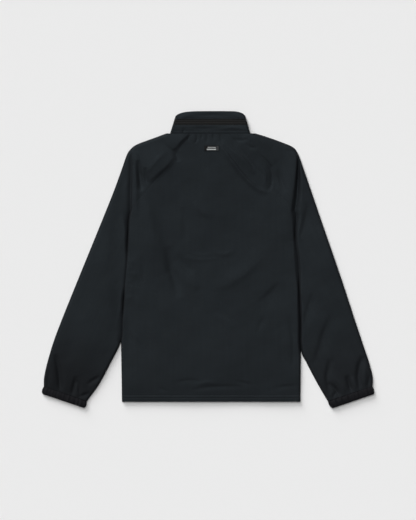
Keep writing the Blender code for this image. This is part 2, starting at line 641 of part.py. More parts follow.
def make_slider(parent, collection):
    """The zip's slider, at the top of its run."""
    shape = bmesh.new()
    bmesh.ops.create_cube(shape, size=1)
    bmesh.ops.scale(shape, vec=[size * MM for size in SLIDER_SIZE], verts=shape.verts)
    mesh = bpy.data.meshes.new("zip_slider")
    shape.to_mesh(mesh)
    shape.free()
    thing = add_object("zip_slider", mesh, ZIP_METAL, parent, collection)
    middle_y = FRONT_ZIP_TOP + SEAM_GAP + SLIDER_SIZE[1] / 2
    thing.location = (CENTRE_X * MM, middle_y * MM, (FRONT_ZIP_RISE + SLIDER_SIZE[2] / 2) * MM)
    bevel = thing.modifiers.new("rounded edges", "BEVEL")
    bevel.width = SLIDER_BEVEL * MM
    bevel.segments = 2
    return thing


def build_windbreaker():
    clear_scene()
    collection = bpy.data.collections.new("windbreaker")
    bpy.context.scene.collection.children.link(collection)
    jacket = bpy.data.objects.new("jacket", None)
    collection.objects.link(jacket)
    make_back(jacket, collection)
    left, right = body_lines("front")
    edge = FRONT_ZIP_WIDTH / 2 + SEAM_GAP
    make_front("front_left", left, CENTRE_X - edge, jacket, collection, flip=True)
    make_front("front_right", right, CENTRE_X + edge, jacket, collection, flip=False)
    make_sleeve("sleeve_left", LEFT, jacket, collection, flip=False)
    make_sleeve("sleeve_right", RIGHT, jacket, collection, flip=True)
    make_cuff("cuff_left", LEFT_CUFF, jacket, collection, flip=False)
    make_cuff("cuff_right", RIGHT_CUFF, jacket, collection, flip=True)
    make_collar("collar_lower", True, jacket, collection)
    make_collar("collar_upper", False, jacket, collection)
    make_hood_zip(jacket, collection)
    make_label(jacket, collection)
    make_front_zip(jacket, collection)
    make_slider(jacket, collection)


build_windbreaker()
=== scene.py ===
# %% [markdown]
# # A black windbreaker, laid flat with its back up
# The real jacket is thin woven nylon, cut as a back, two fronts and two raglan sleeves, with a stand
# collar that hides a rolled hood behind a zip. This lesson dresses the imported solids: each cut piece
# becomes a fine cloth shell on its solid's form, with creases placed one by one, then sewing and zips.

import math
from collections import namedtuple

import bmesh
import bpy
import numpy as np
from mathutils import Matrix, Vector


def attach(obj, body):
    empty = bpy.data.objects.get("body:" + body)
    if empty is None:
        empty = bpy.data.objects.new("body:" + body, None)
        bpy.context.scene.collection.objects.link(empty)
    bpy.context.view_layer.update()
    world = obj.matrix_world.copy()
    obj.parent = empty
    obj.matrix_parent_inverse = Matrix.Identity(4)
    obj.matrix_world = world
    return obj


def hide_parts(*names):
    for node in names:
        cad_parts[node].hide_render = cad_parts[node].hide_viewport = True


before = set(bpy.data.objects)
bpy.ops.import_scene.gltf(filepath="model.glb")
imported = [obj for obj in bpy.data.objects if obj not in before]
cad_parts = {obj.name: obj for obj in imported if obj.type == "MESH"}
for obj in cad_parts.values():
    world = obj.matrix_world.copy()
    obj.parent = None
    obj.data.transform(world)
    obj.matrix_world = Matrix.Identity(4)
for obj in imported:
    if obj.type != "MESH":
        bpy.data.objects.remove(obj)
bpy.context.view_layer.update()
scene = bpy.context.scene
MM = 0.001

# %% [markdown]
# ## Camera
# The photograph looks straight down on the jacket. One pixel of it covers about 2.55 mm of the floor,
# so the height of the camera follows from its lens. A long lens keeps the edges from leaning out.

# %% Camera straight above the jacket
IMAGE_HEIGHT = 520
PIXEL = 2.55
LENS = 200.0
SENSOR = 36.0
camera = bpy.data.objects.new("camera", bpy.data.cameras.new("camera"))
scene.collection.objects.link(camera)
camera.data.lens = LENS
camera.data.sensor_width = SENSOR
camera.location = (0, 0, IMAGE_HEIGHT * PIXEL * MM * LENS / SENSOR)
scene.camera = camera
print("camera height in m:", round(camera.location.z, 3))

# %% [markdown]
# ## Helpers for finishes
# Colours are written as the hex values a screen shows and turned to linear light once. One small
# function adds a shader node with its settings, and another sets or links the inputs of any node.

# %% Colour and node helpers
def linear(code):
    """A linear colour with alpha from an sRGB hex code."""
    levels = [int(code[place:place + 2], 16) / 255 for place in (1, 3, 5)]
    return tuple(v / 12.92 if v <= 0.04045 else ((v + 0.055) / 1.055) ** 2.4 for v in levels) + (1.0,)


def set_inputs(tree, node, values=(), links=()):
    """Set a node's inputs by name or number, and link those that come from other nodes."""
    for name, value in dict(values).items():
        node.inputs[name].default_value = value
    for name, output in dict(links).items():
        tree.links.new(output, node.inputs[name])
    return node


def add_node(tree, kind, values=(), links=(), **settings):
    """A shader node with its settings, its input values and its links."""
    node = tree.nodes.new("ShaderNode" + kind)
    for name, value in settings.items():
        setattr(node, name, value)
    return set_inputs(tree, node, values, links)


def new_material(name):
    """A node material, its tree, and its surface shader, which is already joined to the output."""
    material = bpy.data.materials.new(name)
    material.use_nodes = True
    tree = material.node_tree
    return material, tree, tree.nodes["Principled BSDF"]


print("half of full scale on a screen is", round(linear("#808080")[0], 3), "in linear light")

# %% [markdown]
# ## Floor
# The studio has a pale, seamless paper floor. A plane is enough for it. It lies a little below the
# cloth, so that no two faces are in one plane. Paper is matte, and a faint tooth takes the last gloss off.

# %% Paper floor
FLOOR_GREY = "#EBEBEB"
FLOOR_SIZE = 12.0
FLOOR_DROP = 0.3
PAPER_GRAIN = 1.5
PAPER_DETAIL = 2.0
PAPER_BUMP = {"Strength": 0.05, "Distance": 0.2 * MM}
PAPER_ROUGHNESS = 0.9
PAPER_SPECULAR = 0.1
floor_mesh = bpy.data.meshes.new("floor")
shape = bmesh.new()
bmesh.ops.create_grid(shape, x_segments=1, y_segments=1, size=FLOOR_SIZE / 2)
shape.to_mesh(floor_mesh)
shape.free()
floor = bpy.data.objects.new("floor", floor_mesh)
floor.location.z = -FLOOR_DROP * MM
scene.collection.objects.link(floor)
paper, tree, shader = new_material("matte_paper_sweep")
grain = add_node(tree, "TexNoise", {"Scale": 1 / (PAPER_GRAIN * MM), "Detail": PAPER_DETAIL})
bump = add_node(tree, "Bump", PAPER_BUMP, {"Height": grain.outputs[0]})
set_inputs(tree, shader, {"Base Color": linear(FLOOR_GREY), "Roughness": PAPER_ROUGHNESS,
                          "Specular IOR Level": PAPER_SPECULAR}, {"Normal": bump.outputs[0]})
floor_mesh.materials.append(paper)
print("floor side in m:", FLOOR_SIZE)

# %% [markdown]
# ## Light
# A soft light comes low from the upper left, with a wider one from above and an even fill. Suns with
# wide discs give that with no falloff, so the floor stays one even grey. A filter on the low light
# takes most of its glare off dark cloth, as studios do, so the jacket stays black when seen against the
# light. White cards around the set light nothing, but the cloth mirrors them a little from every side.

# %% Key light, white cards, top light and fill
KEY_FROM = Vector((-0.473, 0.820, 0.322))
KEY_STRENGTH = 3.6
KEY_DISC = 28.0
KEY_GLARE = 0.12
CARD_COUNT = 6
CARD_STRENGTH = 0.14
CARD_DISC = 50.0
TOP_FROM = Vector((-0.22, 0.38, 0.90))
TOP_STRENGTH = 1.74
TOP_DISC = 50.0
FILL_WHITE = "#FFFFFF"
FILL_STRENGTH = 0.13


def soft_sun(name, source, strength, disc, lit=True, mirrored=True):
    """An even light from one direction, as soft as its disc is wide, that lights, is mirrored, or both."""
    lamp = bpy.data.objects.new(name, bpy.data.lights.new(name, "SUN"))
    lamp.data.energy = strength
    lamp.data.angle = math.radians(disc)
    lamp.rotation_euler = source.to_track_quat("Z", "Y").to_euler()
    lamp.visible_diffuse = lit
    lamp.visible_glossy = mirrored
    scene.collection.objects.link(lamp)


soft_sun("key_light", KEY_FROM, KEY_STRENGTH * (1 - KEY_GLARE), KEY_DISC, mirrored=False)
soft_sun("key_glare", KEY_FROM, KEY_STRENGTH * KEY_GLARE, KEY_DISC)
for place in range(1, CARD_COUNT):
    around = Matrix.Rotation(2 * math.pi * place / CARD_COUNT, 3, "Z")
    soft_sun("white_card_%d" % place, around @ KEY_FROM, CARD_STRENGTH, CARD_DISC, lit=False)
soft_sun("top_light", TOP_FROM, TOP_STRENGTH, TOP_DISC)
world = bpy.data.worlds.new("even_fill")
world.use_nodes = True
background = world.node_tree.nodes["Background"]
set_inputs(world.node_tree, background, {"Color": linear(FILL_WHITE), "Strength": FILL_STRENGTH})
scene.world = world
scene.view_settings.view_transform = "Standard"
print("key light", KEY_STRENGTH, "top light", TOP_STRENGTH, "fill", FILL_STRENGTH)

# %% [markdown]
# ## Shell cloth: nylon taffeta
# The shell is a plain weave of fine black nylon yarn, dyed and calendered. The dye itself is a neutral
# black. The pressed face adds a satin sheen with a cool cast, which is most of what the eye sees. The
# real yarns are 0.25 mm apart, far too fine to show, so the weave is drawn at 1.3 mm. Faint streaks run
# along uneven yarn. On the sleeves the sheen's colour darkens towards the cuffs, which is painted shade.

# %% Nylon taffeta, with the grain turned for each piece
YARN = 1.3
YARN_BUMP = {"Strength": 0.25, "Distance": 0.12 * MM}
YARN_ROUGHNESS = (0.46, 0.56)
YARN_SPECULAR = 0.149
YARN_SHEEN = "#D4F1FF"
NYLON_IOR = 1.53
STREAK = 7.0
STREAK_DETAIL = 3.0
STREAK_DRAW = (1.0, 0.05, 1.0)
STREAK_RAMP = (0.3, 0.7)
CRUMPLE = 16.0
CRUMPLE_NOISE = {"Scale": 1 / (CRUMPLE * MM), "Detail": 4.0, "Roughness": 0.45}
CRUMPLE_BUMP = {"Strength": 0.35, "Distance": 0.8 * MM}
WAVE_PERIOD = 2 * math.pi / 20
# The sheen's colour darkens between these two places along a sleeve: painted shade on the sleeve ends.
PAINTED_SHADE_FROM = -250.0
PAINTED_SHADE_TO = -450.0


def nylon_taffeta(name, dark, light, grain=0.0, roughness=YARN_ROUGHNESS, specular=YARN_SPECULAR,
                  sheen=YARN_SHEEN, painted_shade=None):
    """Woven nylon whose yarns run at an angle, with painted shade darkening its sheen at the far end where
    a tint is given.
    """
    material, tree, shader = new_material(name)
    places = add_node(tree, "TexCoord").outputs["Object"]
    turned = add_node(tree, "Mapping", {"Rotation": (0, 0, math.radians(grain))}, {0: places}).outputs[0]
    warp, weft = (add_node(tree, "TexWave", {"Scale": WAVE_PERIOD / (YARN * MM)}, {0: turned},
                           bands_direction=axis) for axis in "XY")
    weave = add_node(tree, "Math", links={0: warp.outputs["Fac"], 1: weft.outputs["Fac"]},
                     operation="MULTIPLY")
    drawn = add_node(tree, "Mapping", {"Scale": STREAK_DRAW}, {0: turned}).outputs[0]
    streaks = add_node(tree, "TexNoise", {"Scale": 1 / (STREAK * MM), "Detail": STREAK_DETAIL}, {0: drawn})
    soft = add_node(tree, "TexNoise", CRUMPLE_NOISE, {0: places})
    tone = add_node(tree, "ValToRGB", links={0: streaks.outputs[0]})
    for element, code, place in zip(tone.color_ramp.elements, (dark, light), STREAK_RAMP):
        element.color = linear(code)
        element.position = place
    gloss = add_node(tree, "MapRange", {"To Min": roughness[0], "To Max": roughness[1]},
                     {0: soft.outputs[0]})
    crumple = add_node(tree, "Bump", CRUMPLE_BUMP, {"Height": soft.outputs[0]})
    threads = add_node(tree, "Bump", YARN_BUMP, {"Height": weave.outputs[0], "Normal": crumple.outputs[0]})
    set_inputs(tree, shader,
               {"IOR": NYLON_IOR, "Specular IOR Level": specular, "Specular Tint": linear(sheen)},
               {"Base Color": tone.outputs[0], "Roughness": gloss.outputs[0], "Normal": threads.outputs[0]})
    # Painted shade: the sheen's colour darkens along the sleeve towards its cuff.
    if painted_shade:
        length = add_node(tree, "SeparateXYZ", links={0: turned}).outputs["Y"]
        shade_fade = add_node(tree, "MapRange", {"From Min": PAINTED_SHADE_FROM * MM, "From Max": PAINTED_SHADE_TO * MM},
                        {0: length}, interpolation_type="SMOOTHSTEP")
        painted_shade_sheen = add_node(tree, "ValToRGB", links={0: shade_fade.outputs[0]})
        for element, code in zip(painted_shade_sheen.color_ramp.elements, (sheen, painted_shade)):
            element.color = linear(code)
        set_inputs(tree, shader, links={"Specular Tint": painted_shade_sheen.outputs[0]})
    return material


SHELL_BLACK = ("#151618", "#17181A")
SLEEVE_LEAN = 24.0
# Sheen colours at the cuff ends of the sleeves, painted shade.
LEFT_PAINTED_SHADE = "#939EA4"
RIGHT_PAINTED_SHADE = "#C5D6E1"
body_nylon = nylon_taffeta("woven_nylon_body", *SHELL_BLACK)
left_nylon = nylon_taffeta("woven_nylon_left_sleeve", *SHELL_BLACK, SLEEVE_LEAN, painted_shade=LEFT_PAINTED_SHADE)
right_nylon = nylon_taffeta("woven_nylon_right_sleeve", *SHELL_BLACK, -SLEEVE_LEAN, painted_shade=RIGHT_PAINTED_SHADE)
print("yarn spacing drawn in mm:", YARN)

# %% [markdown]
# ## The lines of the cut
# A flat jacket is best drawn in plan, in millimetres. Each sleeve is a table of sections from the neck
# to the cuff: where its seam lies on the back, on the front, and its outer edge. Smooth curves through
# the rows give every seam and edge, as in the solids, with more steps between the rows.

# %% Sleeve sections, creases and side ends
HEM_Y = -361.0
HEM_DEPTH = 14.0
NECK_Y = 322.5
FRONT_NECK_Y = 262.0
CENTRE_X = 7.0
SEAM_GAP = 0.3
SEWN_GAP = 0.06
SIDE_GAP = 0.1
SIDE_OVERLAP = 0.8
SIDE_LAYER = 0.9
UNDERARM_ROW = 6
PARTING_ROW = 11
STEPS = 20
UNDERARM = UNDERARM_ROW * STEPS
PARTING = PARTING_ROW * STEPS
Section = namedtuple("Section", "back_x back_y front_x front_y outer_x outer_y")


def closed(inner_x, inner_y, outer_x, outer_y):
    """A section below the underarm, where the seams on the back and on the front are one line."""
    return Section(inner_x, inner_y, inner_x, inner_y, outer_x, outer_y)


LEFT_SLEEVE = (
    Section(-38, 322.5, -70, 290, -106, 322.8),
    Section(-58, 302, -84, 270, -135, 312),
    Section(-78, 277, -99, 247, -179, 295.6),
    Section(-97, 243, -116, 219, -196, 284),
    Section(-128, 209, -140, 192, -207, 268),
    Section(-163, 170, -168, 161, -219, 234),
    closed(-197.5, 124, -240, 176),
    closed(-204, 60, -268, 106),
    closed(-206.5, -5, -301, 25),
    closed(-213, -80, -338.5, -67),
    closed(-218, -155, -371.5, -149),
    closed(-221.5, -207, -393, -206),
    closed(-248, -262, -409, -259),
    closed(-278.5, -318.5, -417.5, -297),
    closed(-309.5, -361, -418.5, -322),
)
RIGHT_SLEEVE = (
    Section(52, 322.5, 84, 290, 121, 322.8),
    Section(70, 302, 97, 270, 148, 314.5),
    Section(91, 276, 112, 248, 186, 301),
    Section(117, 244, 131, 222, 217.5, 287),
    Section(147, 209, 154, 194, 230.5, 268.5),
    Section(181, 168, 184, 161, 243, 234.5),
    closed(221, 124, 263, 176.5),
    closed(221.5, 60, 287, 106),
    closed(229, -5, 315.5, 24),
    closed(232, -80, 346.5, -67),
    closed(235, -155, 373.5, -150),
    closed(236.5, -228, 399.5, -228),
    closed(252, -264, 411.5, -264),
    closed(281.8, -320, 420, -300),
    closed(306, -361, 419.2, -321.5),
)
LEFT_CREASE_TOP = ((-196.5, 276.0), (-195.5, 230.0), (-196.5, 172.0))
RIGHT_CREASE_TOP = ((230.0, 279.0), (229.8, 232.0), (227.0, 172.0))
LEFT_SIDE_END = ((-220.5, -265.0), (-219.7, -312.0), (-219.3, HEM_Y + HEM_DEPTH), (-219.0, HEM_Y))
RIGHT_SIDE_END = ((236.0, -270.0), (235.5, -312.0), (235.2, HEM_Y + HEM_DEPTH), (235.0, HEM_Y))
print("sections of a sleeve:", len(LEFT_SLEEVE))

# %% [markdown]
# ## Smooth lines
# A pattern cutter joins measured points with a bent spline. A Catmull-Rom curve does the same and
# passes through every row, so each number in a table is a place on the jacket. The second helper tells
# how far points lie from a line and on which side of it, which is all that seams and folds need.

# %% A curve through rows, and distances from a line
def curve_through(rows, steps):
    """Points of a smooth curve through the rows, with a number of steps from each row to the next."""
    rows = np.array(rows, dtype=float)
    ends = np.vstack((2 * rows[0] - rows[1], rows, 2 * rows[-1] - rows[-2]))
    out = []
    for first in range(len(rows) - 1):
        before, start, end, after = ends[first:first + 4]
        for step in range(steps):
            t = step / steps
            curve = 2 * start + (end - before) * t
            curve = curve + (2 * before - 5 * start + 4 * end - after) * t ** 2
            curve = curve + (3 * start - before - 3 * end + after) * t ** 3
            out.append(curve / 2)
    out.append(rows[-1])
    return np.array(out)


def nearest(points, line):
    """Distance from points to a line, the share of the line where it is met, and the side (left is +1)."""
    best = np.full(len(points), np.inf)
    along = np.zeros(len(points))
    side = np.ones(len(points))
    for index in range(len(line) - 1):
        run = line[index + 1] - line[index]
        away = points - line[index]
        share = np.clip((away @ run) / (run @ run), 0, 1)
        apart = np.linalg.norm(away - share[:, None] * run, axis=1)
        closer = apart < best
        best = np.where(closer, apart, best)
        along = np.where(closer, (index + share) / (len(line) - 1), along)
        side = np.where(closer, np.sign(run[0] * away[:, 1] - run[1] * away[:, 0]), side)
    return best, along, side


print("points down an outer edge:", len(curve_through(LEFT_SLEEVE, STEPS)))

# %% [markdown]
# ## Creases beside the body
# A sleeve's inner edge lies against the body from the underarm to the place where they part. Above the
# underarm the same line goes on as a crease in the sleeve itself. How deep and how wide that crease is
# changes down each side, so a short table per side gives it.

# %% How deep and how wide the creases are
CreaseRow = namedtuple("CreaseRow", "y depth sleeve_reach body_reach")
LEFT_CREASES = (
    CreaseRow(286, 0.00, 8, 3),
    CreaseRow(262, 0.25, 10, 3),
    CreaseRow(200, 0.45, 14, 3),
    CreaseRow(160, 0.60, 22, 3),
    CreaseRow(124, 0.85, 24, 4),
    CreaseRow(98, 1.00, 16, 4),
    CreaseRow(75, 1.00, 10, 4),
    CreaseRow(50, 1.00, 9, 4),
    CreaseRow(28, 0.85, 8, 4),
    CreaseRow(10, 0.40, 7, 4),
    CreaseRow(-10, 0.25, 7, 4),
    CreaseRow(-70, 0.25, 7, 4),
    CreaseRow(-86, 0.70, 8, 4),
    CreaseRow(-100, 1.00, 9, 4),
    CreaseRow(-128, 0.95, 9, 4),
    CreaseRow(-150, 0.60, 14, 4),
    CreaseRow(-200, 0.60, 14, 4),
    CreaseRow(-214, 1.00, 6, 5),
    CreaseRow(-361, 1.00, 6, 5),
)
RIGHT_CREASES = (
    CreaseRow(289, 0.00, 5, 4),
    CreaseRow(274, 0.95, 6, 4),
    CreaseRow(232, 1.00, 7, 5),
    CreaseRow(200, 1.00, 12, 7),
    CreaseRow(172, 1.00, 14, 8.5),
    CreaseRow(124, 1.00, 16, 9),
    CreaseRow(100, 1.00, 14, 7),
    CreaseRow(64, 1.00, 9, 4),
    CreaseRow(40, 0.70, 8, 5),
    CreaseRow(10, 0.75, 9, 8),
    CreaseRow(-30, 0.75, 9, 8),
    CreaseRow(-60, 0.90, 6, 5),
    CreaseRow(-80, 1.00, 5, 4),
    CreaseRow(-120, 1.00, 7, 6),
    CreaseRow(-200, 1.00, 6, 6),
    CreaseRow(-361, 1.00, 6, 5),
)
print("rows of the crease tables:", len(LEFT_CREASES), len(RIGHT_CREASES))

# %% [markdown]
# ## One side of the jacket
# Left and right differ only in their tables, so one class makes the seam, crease and edge lines of
# either side. Two powers say how cloth rises from a crease, which gives rounded, soft and sharp valleys.

# %% Seam, crease and edge lines of both sides
Rise = namedtuple("Rise", "crest foot")
ROUNDED = Rise(2.0, 0.5)
SOFT_VALLEY = Rise(2.0, 1.0)
LOW_VALLEY = Rise(2.0, 1.5)
SHARP_CREST = Rise(1.0, 1.0)
FREE_EDGE_RUN = 15.0


class Side:
    """The seam, crease and edge lines of one side."""

    def __init__(self, sections, crease_top, side_end, creases, rises, inward):
        grid = curve_through(sections, STEPS)
        grid[0, -1] = NECK_Y - SEAM_GAP / 2
        self.back, self.front, self.outer = grid[:, 0:2], grid[:, 2:4], grid[:, 4:6]
        self.inward = np.array((inward, 0.0))
        below = self.back[UNDERARM:]
        self.body_edge = np.vstack((below[:PARTING - UNDERARM + 1], np.array(side_end)))
        crease = curve_through(crease_top + (tuple(below[0]),), STEPS)[:-1]
        self.sleeve_crease = np.vstack((crease, below - self.inward * SIDE_GAP / 2))
        self.body_crease = np.vstack((crease, self.body_edge - self.inward * SIDE_OVERLAP / 2))
        self.creases = sorted(creases)
        self.body_rise, self.sleeve_rise = rises

    def crease_value(self, points, column):
        heights = [row.y for row in self.creases]
        values = [getattr(row, column) for row in self.creases]
        return np.interp(points[:, 1], heights, values)

    def creased(self, points, height, line, edge):
        """Lower the cloth to a valley along the crease, as wide as the table says on each side of it."""
        _, _, hand = nearest(points, line)
        on_body = hand * self.inward[0] > 0
        body_reach, sleeve_reach, depth = (self.crease_value(points, column)
                                           for column in ("body_reach", "sleeve_reach", "depth"))
        reach = np.where(on_body, body_reach, sleeve_reach)
        free = np.clip((self.back[PARTING, 1] - points[:, 1]) / FREE_EDGE_RUN, 0, 1)[:, None]
        held = np.where(on_body[:, None], self.body_rise, self.sleeve_rise)
        rise = held * (1 - free) + np.array(ROUNDED) * free
        return pressed(points, height, line, depth, reach, edge, Rise(rise[:, 0], rise[:, 1]))

    def seam(self, line, gap):
        """The raglan seam from neck to underarm, moved towards the body (or away, if negative)."""
        seam = line[:UNDERARM + 1]
        run = np.gradient(seam, axis=0)
        square = np.stack((-run[:, 1], run[:, 0]), axis=1)
        square = square / np.linalg.norm(square, axis=1)[:, None]
        square = square * np.sign(square @ self.inward)[:, None]
        moved = seam + square * gap
        if line is self.back:
            moved[0, 1] = NECK_Y - SEAM_GAP / 2
        return moved


LEFT = Side(LEFT_SLEEVE, LEFT_CREASE_TOP, LEFT_SIDE_END, LEFT_CREASES, (SOFT_VALLEY, SOFT_VALLEY), 1.0)
RIGHT = Side(RIGHT_SLEEVE, RIGHT_CREASE_TOP, RIGHT_SIDE_END, RIGHT_CREASES, (SHARP_CREST, LOW_VALLEY), -1.0)
print("rows down a sleeve:", len(LEFT.back))

# %% [markdown]
# ## How the cloth lies
# The upper cloth rests on trapped air and on the layers under it. A cloth simulation would settle into
# folds of its own, so the folds of this jacket are placed one by one. Broad lofts come first: each raises
# or lowers a whole region, such as the shoulders or the hem, by a smooth mound.

# %% Lofts
Loft = namedtuple("Loft", "x y reach_x reach_y height")
LOFTS = (
    Loft(7, 345, 280, 200, 4.4),
    Loft(7, -270, 260, 200, 2.4),
    Loft(7, -385, 400, 55, -2.4),
    Loft(-150, 250, 52, 40, 0.4),
    Loft(178, 256, 46, 40, 1.2),
    Loft(-150, 20, 50, 130, 1),
    Loft(160, 20, 60, 90, 0.6),
    Loft(-290, -90, 75, 150, 2.6),
    Loft(300, -80, 75, 150, 2),
)
print("lofts:", len(LOFTS))

# %% [markdown]
# ## Folds of the shoulders
# Every crease is one row of a table: the points it passes, how far it reaches to the left and to the
# right as one goes along it, and its height, where a trough is negative. A short reach on one side
# makes that flank steep. Two long folds run down from the neck on the left, and a loop on the right.

# %% Shoulder folds and the gathers at the neck
Fold = namedtuple("Fold", "path left right height")
SHOULDER_FOLDS = (
    Fold(((-48, 323), (-62, 311), (-75, 298), (-90, 279)), 6, 30, 2.5),
    Fold(((-86, 284), (-80, 268), (-74, 250)), 7, 7, -1.6),
    Fold(((-84, 268), (-106, 242), (-130, 221), (-154, 200)), 8, 60, 2.5),
    Fold(((-106, 278), (-132, 252), (-158, 218)), 6, 6, 0.6),
    Fold(((-184, 278), (-183, 215), (-184, 108)), 7, 9, 1.8),
    Fold(((-180, 254), (-175, 216), (-170, 176)), 7, 6, -2.8),
    Fold(((-161, 236), (-159, 214), (-156, 192)), 6, 4, -1.5),
    Fold(((26, 300), (45, 275), (71, 241), (98, 208), (130, 181), (154, 172)), 3, 8, 2),
    Fold(((36, 306), (64, 279), (89, 260), (105, 241), (119, 218)), 3, 12, 1.5),
    Fold(((84, 308), (128, 272), (158, 236)), 40, 17, 1.3),
    Fold(((84, 322), (124, 308), (164, 288)), 8, 14, 1.1),
    Fold(((62, 309), (82, 305), (104, 308)), 4, 4, -0.5),
    Fold(((96, 297), (108, 287), (124, 286)), 4, 4, -0.6),
    Fold(((124, 276), (145, 255), (159, 236), (163, 214), (161, 190), (150, 173)), 4, 6, -1.5),
    Fold(((128, 246), (144, 226), (147, 206), (144, 188)), 4, 5, 0.8),
    Fold(((178, 232), (184, 206), (198, 172)), 7, 5, -1),
    Fold(((166, 224), (170, 202), (174, 180)), 5, 4, -0.8),
    Fold(((222, 276), (218, 200), (211, 124), (216, 50)), 10, 24, 3),
)
NECK_GATHERS = (
    Fold(((-46, 323), (-50, 312), (-52, 300)), 3, 3, -0.6),
    Fold(((-30, 323), (-28, 308), (-34, 296)), 3, 3, -0.8),
    Fold(((-18, 323), (-16, 314), (-18, 306)), 3, 3, -0.5),
    Fold(((-4, 323), (-2, 312), (-4, 298)), 3.5, 3.5, -0.5),
    Fold(((14, 323), (14, 314), (17, 304)), 3, 3, -0.6),
    Fold(((30, 323), (33, 310), (39, 296)), 3, 4, -0.6),
)
print("shoulder folds:", len(SHOULDER_FOLDS), "gathers:", len(NECK_GATHERS))

# %% [markdown]
# ## Folds of the body
# A light jacket that is laid down keeps a few long, slack folds across the back and short ones above
# the hem. Where the left side seam is drawn tight, small puckers stand along it.

# %% Body folds and puckers at the side seam
BODY_FOLDS = (
    Fold(((-168, 186), (-152, 110), (-134, 40), (-104, -30)), 20, 40, 2.7),
    Fold(((-104, 34), (-97, -16), (-85, -52), (-76, -96)), 16, 9, -2.3),
    Fold(((-80, 14), (-60, -10), (-38, -34)), 9, 9, -1),
    Fold(((-90, -12), (-60, -46), (-20, -72)), 16, 14, 1.2),
    Fold(((-6, -74), (40, -64), (76, -46), (108, -22), (140, 14)), 20, 11, 1),
    Fold(((-62, 8), (-24, 1), (26, 4)), 5, 5, 0.5),
    Fold(((8, 26), (36, 14), (70, 24)), 5, 5, 0.5),
    Fold(((-46, 18), (-14, 12), (14, 16)), 4, 5, 0.4),
    Fold(((184, -56), (156, -86), (124, -116)), 24, 6, -1),
    Fold(((-34, 150), (-16, 122), (12, 108)), 14, 7, 1),
    Fold(((-66, 134), (-58, 92), (-56, 48)), 14, 9, -0.9),
    Fold(((206, -140), (216, -200), (216, -276)), 8, 5, -1),
    Fold(((140, -144), (134, -162), (126, -184)), 8, 4, -0.6),
    Fold(((-200, -172), (-186, -192), (-170, -214)), 5, 6, 0.6),
    Fold(((16, -138), (40, -152), (68, -176)), 8, 10, 0.5),
    Fold(((-206, -100), (-200, -180), (-204, -260)), 12, 14, -0.7),
    Fold(((-124, -322), (-116, -330), (-104, -336)), 5, 4, -0.6),
    Fold(((-84, -313), (-52, -306), (-18, -309)), 4, 6, -0.5),
    Fold(((-46, -333), (-10, -325), (40, -322), (92, -322)), 4, 6, -0.65),
    Fold(((-30, -318), (-6, -312), (24, -314)), 4, 5, 0.5),
    Fold(((72, -308), (92, -313), (116, -320)), 4, 6, -0.6),
    Fold(((164, -327), (196, -322), (228, -320)), 4, 6, -0.5),
)
SIDE_PUCKERS = (
    Fold(((-201, 3), (-192, -4), (-184, -13)), 5, 6, 0.5),
    Fold(((-204, -19), (-197, -20), (-192, -25)), 4, 4, 0.4),
    Fold(((-200, -30), (-189, -35), (-180, -47)), 5, 6, 0.6),
    Fold(((-205, -53), (-198, -53), (-191, -56)), 4, 5, 0.5),
    Fold(((-202, -63), (-193, -70), (-188, -84)), 5, 5, 0.6),
    Fold(((-207, -92), (-200, -95), (-194, -103)), 4, 5, 0.4),
    Fold(((-172, 6), (-166, -22), (-164, -60)), 7, 5, -0.8),
)
print("body folds:", len(BODY_FOLDS), "puckers:", len(SIDE_PUCKERS))

# %% [markdown]
# ## Folds of the sleeves
# The sleeves have long folds along the arm. Above each cuff the elastic draws the cloth in, so many
# short gathers run down into it, and these are the steepest folds of the jacket.

# %% Sleeve folds and the gathers above the cuffs
SLEEVE_FOLDS = (
    Fold(((-222, 236), (-216, 170), (-214, 96)), 8, 16, -1.3),
    Fold(((-252, 130), (-256, 60), (-262, -40)), 16, 26, 1.3),
    Fold(((-232, -50), (-228, -120), (-230, -196)), 8, 16, -1.3),
    Fold(((-330, -110), (-344, -190), (-352, -262)), 24, 16, -0.8),
    Fold(((256, 148), (248, 104), (236, 54)), 14, 6, -1),
    Fold(((270, -80), (251, -136), (240, -190)), 16, 6, -1),
    Fold(((317, -138), (297, -182), (284, -226), (270, -268)), 20, 7, -1.5),
)
CUFF_FOLDS = (
    Fold(((311, -252), (303, -298), (310, -344)), 9, 5, -2),
    Fold(((306, -312), (328, -334), (338, -362)), 5, 5, -2.7),
    Fold(((318, -298), (343, -322), (350, -354)), 6, 6, 0.9),
    Fold(((353, -294), (360, -318), (371, -350)), 5, 5, -3.1),
    Fold(((368, -296), (377, -320), (381, -348)), 6, 5, 0.9),
    Fold(((395, -244), (385, -274), (383, -304), (389, -342)), 7, 6, -2.9),
    Fold(((404, -262), (399, -300), (404, -334)), 6, 6, 1),
    Fold(((413, -290), (409, -316), (412, -336)), 4, 4, -1.5),
    Fold(((326, -334), (320, -350), (324, -368)), 4, 4, -1.7),
    Fold(((-388, -240), (-380, -294), (-377, -346)), 7, 5, -3.9),
    Fold(((-402, -252), (-396, -298), (-396, -338)), 6, 6, 0.9),
    Fold(((-410, -282), (-408, -308), (-408, -334)), 4, 4, -1.5),
    Fold(((-336, -296), (-342, -324), (-348, -356)), 5, 5, -2.9),
    Fold(((-334, -304), (-328, -326), (-327, -352)), 4, 4, -2.2),
    Fold(((-362, -292), (-362, -324), (-364, -352)), 8, 8, 0.8),
    Fold(((-346, -356), (-320, -346), (-300, -338)), 4, 6, -2),
    Fold(((-308, -318), (-292, -306), (-274, -295)), 4, 6, -1.7),
)
print("sleeve folds:", len(SLEEVE_FOLDS), "gathers:", len(CUFF_FOLDS))

# %% [markdown]
# ## Adding the heights up
# A fold is highest along its line and falls off to both sides like a bell. Waves that cross at many
# angles add the slow, faint unevenness of handled cloth. Functions of the plan, and not a sculpted
# mesh, hold all of it, so pieces sewn on later can ask for the height of the cloth below them.

